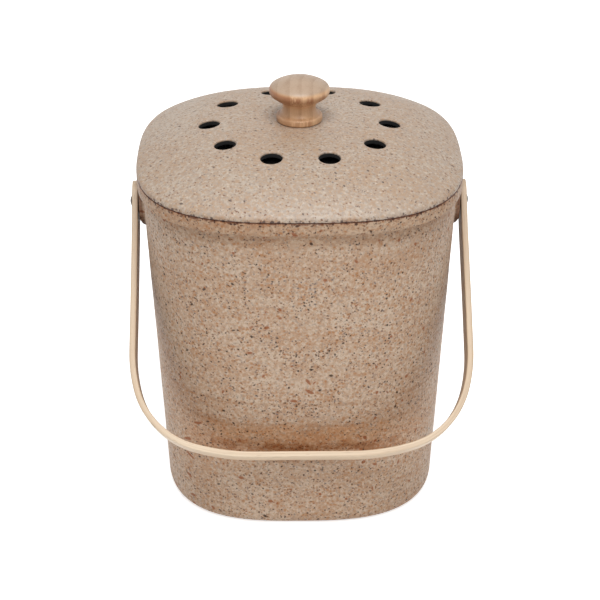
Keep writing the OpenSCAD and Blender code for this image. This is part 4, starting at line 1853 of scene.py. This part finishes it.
@dataclass(frozen=True)
class Bail:
    """The bail: one strip of bamboo bent to a hoop, which hangs against the bin's front."""

    frame: Frame
    finish: Finish
    width: float = 20.0 * MM
    thick: float = 3.6 * MM
    reach: float = 154.0 * MM
    arm_end: float = 12.0 * MM
    arm_pad: float = 15.0 * MM
    arm_gap: float = 0.9 * MM
    lean: float = math.radians(0.9)
    lean_r: float = 250.0 * MM
    bends: tuple[Flat, ...] = ((88.0 * MM, 15.0), (48.0 * MM, 74.0), (130.0 * MM, 90.0))
    edge_r: float = 0.8 * MM
    hole_r: float = 2.05 * MM
    rest_gap: float = 0.5 * MM
    base_r: float = 6.9 * MM
    base_half: float = 81.6 * MM
    rim_step: float = 2.0 * MM
    sway: float = 1.05 * MM
    sway_at: tuple[float, ...] = (0.0, 0.4, 0.8, 1.0)
    sway_by: tuple[float, ...] = (0.0, 0.36, 0.4, 1.0)
    hole_sides: int = 64

    def rest_turn(self) -> float:
        """Work out how far the bail swings forward until its back edge meets the tapered front.

        Returns:
            The angle from upright, in radians.
        """
        run = self.frame.seam_z - self.base_r
        taper = (self.frame.rim_half - self.rim_step - self.base_half) / run
        long = self.reach - self.thick
        down = long + taper * self.width / 2
        back = self.width / 2 - taper * long
        gap = self.base_half + taper * (self.frame.pivot_z - self.base_r) + self.rest_gap
        return math.asin(gap / math.hypot(down, back)) + math.atan2(back, down)

    def path(self) -> tuple[list[Flat], list[float]]:
        """Draw the strip's middle line, laid flat, from one tip round to the other.

        Returns:
            The line's points and the strip's half width at each.
        """
        start = self.frame.ear_x + self.arm_gap + self.thick / 2
        lean = self.lean
        drop, was = 0.0, -lean
        for radius, turn in self.bends:
            drop += (radius - self.thick / 2) * (math.sin(math.radians(turn)) - math.sin(was))
            was = math.radians(turn)
        lean_drop = self.lean_r * math.sin(lean)
        run = (self.reach - self.thick / 2 - self.arm_pad - lean_drop - drop) / math.cos(lean)
        bend = (start + self.lean_r, self.arm_pad)
        line = arc(bend, self.lean_r, 180, 180 - math.degrees(lean), 4)
        end = (line[-1][0] + run * math.sin(lean), self.arm_pad + lean_drop + run * math.cos(lean))
        line += [(line[-1][0] + (end[0] - line[-1][0]) * s, line[-1][1] + (end[1] - line[-1][1]) * s)
                 for s in np.linspace(0, 1, 9)[1:]]
        was = -math.degrees(lean)
        for radius, turn in self.bends:
            bend, way = radius - self.thick / 2, math.radians(was)
            centre = (line[-1][0] - bend * math.cos(way), line[-1][1] - bend * math.sin(way))
            line += arc(centre, bend, was, turn, 30)[1:]
            was = turn
        grip = [(line[-1][0] * s, line[-1][1]) for s in np.linspace(1, 0, 15)[1:]]
        half = self.width / 2
        turns = swing(3, 90, 23)
        tips = [(start, -self.arm_end + half * (1 - math.cos(t))) for t in turns]
        side = tips + [(start, v) for v in np.linspace(tips[-1][1], self.arm_pad, 9)[1:-1]] + line + grip
        widths = [half * math.sin(t) for t in turns]
        widths += [half] * (len(side) - len(widths))
        mirror = [(-x, v) for x, v in side[-2::-1]]
        swayed = [(x + self.sway * float(np.interp(v / self.reach, self.sway_at, self.sway_by)), v)
                  for x, v in side + mirror]
        return swayed, widths + widths[-2::-1]

    def build(self) -> bpy.types.Object:
        """Sweep the strip along its line, round its ends, lay it at rest and drill the holes.

        Returns:
            The bail.
        """
        points, widths = self.path()
        line = wire(points, False, "bail line")
        line.attributes.new("half_width", "FLOAT", "POINT").data.foreach_set("value", widths)
        recipe = Recipe("bail recipe")
        width = recipe.ask("Strip Width", self.width)
        thick = recipe.ask("Strip Thickness", self.thick)
        curve = recipe.add("GeometryNodeMeshToCurve", {}, {"Mesh": recipe.source})
        along = recipe.add("GeometryNodeSplineParameter", out="Length")
        curve = recipe.stored(curve, "along", along, "FLOAT")
        curve = recipe.add("GeometryNodeSetCurveNormal", {"mode": "Z_UP"}, {"Curve": curve})
        quad = recipe.add("GeometryNodeCurvePrimitiveQuadrilateral", {}, {"Width": thick, "Height": width})
        section = recipe.add("GeometryNodeFilletCurve", {"mode": "POLY"},
                             {"Curve": quad, "Count": 4, "Radius": self.edge_r, "Limit Radius": True})
        section = recipe.add("GeometryNodeResampleCurve", {"mode": "EVALUATED"}, {"Curve": section})
        section = recipe.stored(section, "section", recipe.add("GeometryNodeInputPosition"))
        strip = recipe.add("GeometryNodeCurveToMesh", {},
                           {"Curve": curve, "Profile Curve": section, "Fill Caps": True})
        strip = self._narrowed(recipe, strip, width)
        strip = self._grained(recipe, strip)
        rest = (-math.pi / 2 - self.rest_turn(), 0.0, 0.0)
        laid = recipe.moved(strip, (0.0, 0.0, self.frame.pivot_z), rest)
        laid = recipe.drilled(laid, self.hole_r, self.frame.pivot_z, self.hole_sides)
        mesh = recipe.bake(laid, line, self.finish)
        return Piece("bail_loop", Body.BAIL, self.finish, "bail_wood", ("bail",)).place(mesh)

    def _narrowed(self, recipe: Recipe, strip: Sock, width: Sock) -> Sock:
        """Draw the strip's edges in where its half width is smaller, which rounds its ends.

        Args:
            recipe: The bail's tree.
            strip: The strip, as wide everywhere.
            width: Its width.

        Returns:
            The strip with round ends.
        """
        half = recipe.read("half_width", "FLOAT")
        x, y, across = recipe.add("GeometryNodeInputPosition").xyz()
        kept = (abs(across) - (width * 0.5 - half)).math("MAXIMUM", 0.0)
        drawn = recipe.add("ShaderNodeCombineXYZ", {}, {"X": x, "Y": y, "Z": kept * across.math("SIGN")})
        return recipe.add("GeometryNodeSetPosition", {}, {"Geometry": strip, "Position": drawn})

    def _grained(self, recipe: Recipe, strip: Sock) -> Sock:
        """Store where each point is in the strip: along it, across it and through it.

        Args:
            recipe: The bail's tree.
            strip: The strip.

        Returns:
            The strip with its grain attribute.
        """
        through, across, _ = recipe.read("section").xyz()
        sockets = {"X": recipe.read("along", "FLOAT"), "Y": across, "Z": through}
        grain = recipe.add("ShaderNodeCombineXYZ", {}, sockets)
        return recipe.stored(strip, BentBamboo.attribute, grain)


# ------------------------------------------------------------------------------ the scene


def mottled(warm: Colour, pale: Colour, grey: Colour) -> tuple[Mottle, ...]:
    """Mottle a composite's ground with three colours.

    Args:
        warm: Colour of the browner patches.
        pale: Colour of the paler ones, which lie where the browner ones thin out.
        grey: Colour of the small grey ones.

    Returns:
        The mottles, from the lowest up.
    """
    return (
        Mottle(warm, Patches(Cloud(560, 2, 0.55), 0.44, 0.62, 0.0, 0.7), 1.0),
        Mottle(pale, Patches(Cloud(480, 2, 0.55, shift=(0.31, 0.17, 0.43)), 0.46, 0.64, 0.0, 0.7), -1.0),
        Mottle(grey, Patches(Cloud(760, shift=(0.71, 0.37, 0.13)), 0.52, 0.66, 0.0, 0.5)),
    )


@dataclass(frozen=True)
class Finishes:
    """Every finish of the caddy."""

    bin: Finish
    lid: Finish
    knob: Finish
    bail: Finish
    pivot: Finish
    steel: Finish
    spacer: Finish
    brass: Finish
    charcoal: Finish
    tray: Finish

    @classmethod
    def made(cls, frame: Frame) -> Finishes:
        """Choose the caddy's colours.

        Args:
            frame: The shared sizes, which place the seam and the knob's foot.

        Returns:
            The finishes.
        """
        rust, brown, cream = srgb(172, 118, 72), srgb(116, 80, 56), srgb(212, 192, 170)
        black, slate = srgb(60, 42, 33), srgb(106, 97, 96)
        coarse = (
            Fleck(2.1 * MM, 0.82 * MM, 0.6, rust, 0.7, 1.6, 0.7, 0.11),
            Fleck(2.2 * MM, 0.68 * MM, 0.5, cream, 0.5, 1.6, 0.8, 0.53),
            Fleck(1.75 * MM, 0.48 * MM, 0.55, brown, 0.8, 1.9, 0.6, 0.23),
            Fleck(2.4 * MM, 0.5 * MM, 0.45, slate, 0.75, 1.5, 0.5, 0.71),
            Fleck(2.2 * MM, 0.48 * MM, 0.5, black, 0.9, 1.6, 0.5, 0.37),
            Fleck(5.5 * MM, 0.7 * MM, 0.35, black, 0.9, 1.8, 0.4, 0.83),
            Fleck(8.0 * MM, 1.0 * MM, 0.4, srgb(146, 84, 48), 0.85, 3.6, 0.5, 0.93),
        )
        fine = (
            Fleck(2.2 * MM, 0.72 * MM, 0.5, srgb(172, 134, 98), 0.5, 1.6, 0.7, 0.17),
            Fleck(2.2 * MM, 0.68 * MM, 0.5, srgb(210, 196, 178), 0.45, 1.6, 0.8, 0.59),
            Fleck(1.9 * MM, 0.48 * MM, 0.5, srgb(122, 94, 74), 0.75, 1.9, 0.6, 0.29),
            Fleck(2.5 * MM, 0.46 * MM, 0.4, slate, 0.8, 1.5, 0.5, 0.47),
            Fleck(2.3 * MM, 0.46 * MM, 0.5, brown, 0.95, 1.6, 0.5, 0.41),
            Fleck(4.5 * MM, 0.6 * MM, 0.5, black, 0.8, 1.7, 0.5, 0.61),
        )
        seam = Seam(frame.seam_z)
        lines = (LevelLine(87.0 * MM, 0.4), LevelLine(72.2 * MM, 0.35))
        return cls(
            bin=Composite("bin_composite_look", srgb(191, 163, 139),
                          mottled(srgb(179, 139, 106), srgb(210, 190, 169), srgb(150, 137, 128)), coarse,
                          (EarSkin(), RimBand(), *lines, Scorch(), seam), frame.seam_z),
            lid=Composite("lid_composite_look", srgb(168, 148, 130),
                          mottled(srgb(168, 137, 108), srgb(184, 170, 154), srgb(144, 134, 126)), fine,
                          (seam,), frame.seam_z, specular=0.6,
                          vents=Vents(LidDome.vents, LidDome.vent_ring, LidDome.vent_r)),
            # the knob's last two colours are the cap's painted top light, pale and dark
            knob=TurnedWood("knob_beech_look", srgb(216, 175, 134), srgb(154, 102, 66), srgb(116, 72, 44),
                            srgb(172, 150, 130), srgb(142, 116, 92), frame.lid_top_z),
            bail=BentBamboo("bail_bamboo_look", srgb(226, 206, 180), srgb(196, 170, 142), srgb(146, 114, 84)),
            pivot=Metal("pivot_bronze_look", srgb(92, 84, 78), srgb(58, 50, 44), 0.42),
            steel=Metal("zinc_steel_look", srgb(196, 196, 194), srgb(160, 162, 164), 0.32),
            spacer=Moulded("spacer_nylon_look", srgb(42, 36, 33), srgb(30, 26, 24), 0.5),
            brass=Metal("insert_brass_look", srgb(214, 178, 104), srgb(176, 138, 70), 0.3),
            charcoal=Felt("charcoal_felt_look", srgb(70, 70, 72), srgb(18, 18, 19)),
            tray=Moulded("tray_plastic_look", srgb(68, 60, 54), srgb(52, 46, 42), 0.45),
        )


@dataclass(frozen=True)
class Hardware:
    """The turned pieces: knob, screws, washers, nuts, filter and tray, with their sizes in millimetres."""

    frame: Frame
    finishes: Finishes
    bore_r: float = 2.05
    washer: Flat = (5.0, 1.0)
    spacer: Flat = (6.3, 0.8)
    shank_r: float = 2.0
    point: float = 0.5
    bolt_r: float = 4.0
    bolt_head: float = 2.6
    bolt_round: float = 1.3
    head_r: float = 3.9
    head_h: float = 1.5
    head_dome_r: float = 3.85
    head_edge: Flat = (3.87, 0.08)
    head_seat_r: float = 3.75
    nut_r: float = 4.05
    nut_seat_r: float = 3.5
    nut_top_r: float = 3.6
    nut_h: float = 3.2
    nut_deep: float = 4.2
    nut_bevel: float = 0.35
    filter_r: float = 61.6
    filter_t: float = 9.0
    filter_round: float = 1.2
    tray_r: float = 66.5
    tray_t: float = 2.0
    tray_h: float = 9.0
    tray_wall: Flat = (63.7, 62.1)
    knob_sides: int = 144
    filter_sides: int = 192

    def build(self) -> None:
        """Build every turned piece."""
        self._knob()
        self._filter()
        for side in Side:
            self._pivot(side)

    def _knob(self) -> None:
        """The knob, with the screw and the washer that hold it from below the lid."""
        made, head, shank_r = self.finishes, self.bolt_head, self.shank_r
        knob = Piece("turned_knob", Body.LID, made.knob, "knob_wood", ("knob",))
        foot = (0.0, 0.0, self.frame.lid_top_z)
        Turned(knob, KnobShape().outline(), False, foot, sides=self.knob_sides, weighted=False).build()
        low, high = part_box("knob_screw")
        tip = (high.z - low.z) / MM
        shank = outline((0, 0, 0), (self.bolt_r, 0, self.bolt_round), (self.bolt_r, head, 0.2),
                        (shank_r, head, 0), (shank_r, tip, self.point), (0, tip, 0))
        bolt = Piece("knob_bolt", Body.LID, made.steel, "steel", ("knob_screw",))
        CrossHead(bolt, shank, False, (0.0, 0.0, low.z)).build()
        ring = Piece("knob_ring", Body.LID, made.steel, "steel", ("knob_washer",))
        Turned(ring, self._ring(*self.washer), True, (0.0, 0.0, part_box("knob_washer")[0].z)).build()

    def _filter(self) -> None:
        """The charcoal pad and the slotted tray that holds it in the lid's collar."""
        made, wide, tall, soft = self.finishes, self.filter_r, self.filter_t, self.filter_round
        felt = outline((0, 0, 0), (wide, 0, soft), (wide, tall, soft), (0, tall, 0))
        pad = Piece("charcoal_pad", Body.FILTER, made.charcoal, "filter_charcoal", ("charcoal_filter",))
        foot = (0.0, 0.0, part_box("charcoal_filter")[0].z)
        Turned(pad, felt, False, foot, sides=self.filter_sides).build()
        (wall, inside), floor, top = self.tray_wall, self.tray_t, self.tray_h
        section = outline((0, 0, 0), (self.tray_r, 0, 0.5), (self.tray_r, floor, 0.4), (wall, floor, 0.3),
                          (wall, top, 0.5), (inside, top, 0.5), (inside, floor, 0.3), (0, floor, 0))
        tray = Piece("tray_disc", Body.FILTER, made.tray, "tray_plastic", ("filter_tray",))
        foot = (0.0, 0.0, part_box("filter_tray")[0].z)
        SlottedTray(tray, section, False, foot, sides=self.filter_sides).build()

    def _ring(self, outer: float, thick: float) -> tuple[Flat, ...]:
        """A washer's section, softened more outside than in its bore."""
        return outline((self.bore_r, 0, 0.15), (outer, 0, 0.25), (outer, thick, 0.25),
                       (self.bore_r, thick, 0.15), closed=True)

    def _head(self, tip: float) -> tuple[Flat, ...]:
        """Draw a pivot screw's section from its tip to the middle of its low domed head.

        Args:
            tip: How far the tip is from the head's seat, in millimetres.

        Returns:
            The section, in metres.
        """
        round_r = (self.head_r**2 + self.head_h**2) / 2 / self.head_h
        start = math.degrees(math.acos(self.head_dome_r / round_r))
        shank = self.shank_r
        chain = [(0.0, -tip), (shank * 0.8, -tip), (shank, self.point - tip), (shank, 0.0),
                 (self.head_seat_r, 0.0), self.head_edge]
        chain += arc((0.0, self.head_h - round_r), round_r, start, 90, 14)
        return tuple((x * MM, z * MM) for x, z in chain)

    def _nut(self) -> tuple[Flat, ...]:
        """Draw a cap nut's section from the end of its bore round to the middle of its dome.

        Returns:
            The section, in metres.
        """
        wide, tall, bevel = self.nut_r, self.nut_h, self.nut_bevel
        cap = outline((0, self.nut_deep, 0), (self.bore_r, self.nut_deep, 0), (self.bore_r, 0, 0.2),
                      (self.nut_seat_r, 0, 0), (wide, bevel, 0), (wide, tall - bevel, 0),
                      (self.nut_top_r, tall, 0), (tall, tall, 0))
        return cap + tuple(arc((0.0, tall * MM), tall * MM, 4, 90, 14))

    @staticmethod
    def _span(node: str) -> Flat:
        """How near the middle and how far from it a node reaches along X."""
        near, far = sorted(abs(corner.x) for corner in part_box(node))
        return near, far

    def _pivot(self, side: Side) -> None:
        """Build one pivot from its head outside the arm to its nut inside the bin.

        Args:
            side: Which side it is on.
        """
        made, word, way, z = self.finishes, side.word, side.value, self.frame.pivot_z
        out, back = (0.0, way * math.pi / 2, 0.0), (0.0, -way * math.pi / 2, 0.0)
        screw, nut = f"pivot_screw_{word}", f"cap_nut_{word}"
        near, far = self._span(screw)
        seat = far - self.head_h * MM
        bolt = Piece(f"pivot_head_{word}", Body.BIN, made.pivot, "pivot_steel", (screw,))
        Turned(bolt, self._head((seat - near) / MM), False, (way * seat, 0.0, z), out).build()
        for name, kind, finish, slot, size in (
                ("spacer_ring", "spacer_washer", made.spacer, "spacer_nylon", self.spacer),
                ("inner_ring", "inner_washer", made.steel, "steel", self.washer)):
            node = f"{kind}_{word}"
            ring = Piece(f"{name}_{word}", Body.BIN, finish, slot, (node,))
            Turned(ring, self._ring(*size), True, (way * self._span(node)[0], 0.0, z), out).build()
        blank = Piece(f"dome_nut_{word}", Body.BIN, made.steel, "steel", (nut,))
        HexNut(blank, self._nut(), False, (way * self._span(nut)[1], 0.0, z), back).build()


@dataclass(frozen=True)
class Lamp:
    """A square soft light."""

    name: str
    eye: Point
    size: float
    power: float


@dataclass(frozen=True)
class Studio:
    """A plain pale floor, a white surround, soft lights and the camera."""

    eye: Point = (-12.55 * MM, -970.7 * MM, 625.1 * MM)
    aim: Point = (0.35 * MM, 0.0, 110.0 * MM)
    lens: float = 107.68
    sensor: float = 36.0
    clip: Flat = (0.05, 50.0)
    lamps: tuple[Lamp, ...] = (
        Lamp("key", (0.0, -0.7, 2.1), 1.2, 31.5),
        Lamp("side", (0.18, -1.38, 1.6), 1.2, 9.0),
    )
    floor_half: float = 4.0
    floor_white: float = 0.9
    floor_glow: float = 0.7
    surround: Flat = (0.3, 1.05)

    def build(self) -> None:
        """Set everything up."""
        self._floor()
        self._surround()
        for lamp in self.lamps:
            light = bpy.data.lights.new(lamp.name, "AREA")
            light.size, light.energy = lamp.size, lamp.power
            linked(lamp.name, light).matrix_world = self._facing(lamp.eye)
        eye = linked("camera", bpy.data.cameras.new("camera"))
        eye.data.lens, eye.data.sensor_width = self.lens, self.sensor
        eye.data.clip_start, eye.data.clip_end = self.clip
        eye.matrix_world = self._facing(self.eye)
        bpy.context.scene.camera = eye
        bpy.context.scene.view_settings.view_transform = "Standard"

    def _facing(self, eye: Point) -> Matrix:
        """Where a camera or a light stands, looking at the aim."""
        way = Vector(self.aim) - Vector(eye)
        return Matrix.Translation(eye) @ way.to_track_quat("-Z", "Y").to_matrix().to_4x4()

    @staticmethod
    def _seen(nodes: Nodes) -> Sock:
        """Find the rays that show the surround: from the camera, off gloss or through glass.

        Args:
            nodes: The tree that asks.

        Returns:
            1 for those rays, 0 for others.
        """
        path = nodes.add("ShaderNodeLightPath", out="Is Camera Ray")
        either = path.math("MAXIMUM", path.of("Is Glossy Ray"))
        return either.math("MAXIMUM", path.of("Is Transmission Ray"))

    def _floor(self) -> None:
        """The floor, which is white to the camera except in the caddy's shadow."""
        far, white = self.floor_half, (self.floor_white,) * 3
        sheet = bpy.data.meshes.new("floor")
        corners = [(-far, -far, 0), (far, -far, 0), (far, far, 0), (-far, far, 0)]
        sheet.from_pydata(corners, [], [(0, 1, 2, 3)])
        paint = bpy.data.materials.new("floor_look")
        paint.use_nodes = True
        nodes = Shading(paint.node_tree)
        glow = self._seen(nodes).blend((0.0, 0.0, 0.0), (self.floor_glow,) * 3)
        nodes.feed(Base_Color=white, Roughness=1.0, Specular_IOR_Level=0.0)
        nodes.feed(Emission_Color=glow, Emission_Strength=1.0)
        sheet.materials.append(paint)
        linked("floor", sheet)

    def _surround(self) -> None:
        """A white surround that lights the caddy more softly than it looks."""
        world = bpy.data.worlds.new("surround")
        world.use_nodes = True
        nodes = Nodes(world.node_tree)
        shade = next(n for n in world.node_tree.nodes if n.type == "BACKGROUND")
        nodes.fill(shade.inputs["Color"], (1.0, 1.0, 1.0))
        nodes.fill(shade.inputs["Strength"], self._seen(nodes).ramp(0.0, 1.0, *self.surround))
        bpy.context.scene.world = world


def main() -> None:
    """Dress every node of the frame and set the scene."""
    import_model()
    logging.basicConfig(level=logging.INFO, format="%(message)s")
    frame = Frame.read()
    finishes = Finishes.made(frame)
    BinShell(frame, finishes.bin).build()
    LidDome(frame, finishes.lid).build()
    Bail(frame, finishes.bail).build()
    Hardware(frame, finishes).build()
    insert = bpy.data.objects["knob_insert"]
    insert.data.materials.clear()
    insert.data.materials.append(finishes.brass.material())
    Studio().build()


if __name__ == "__main__":
    main()
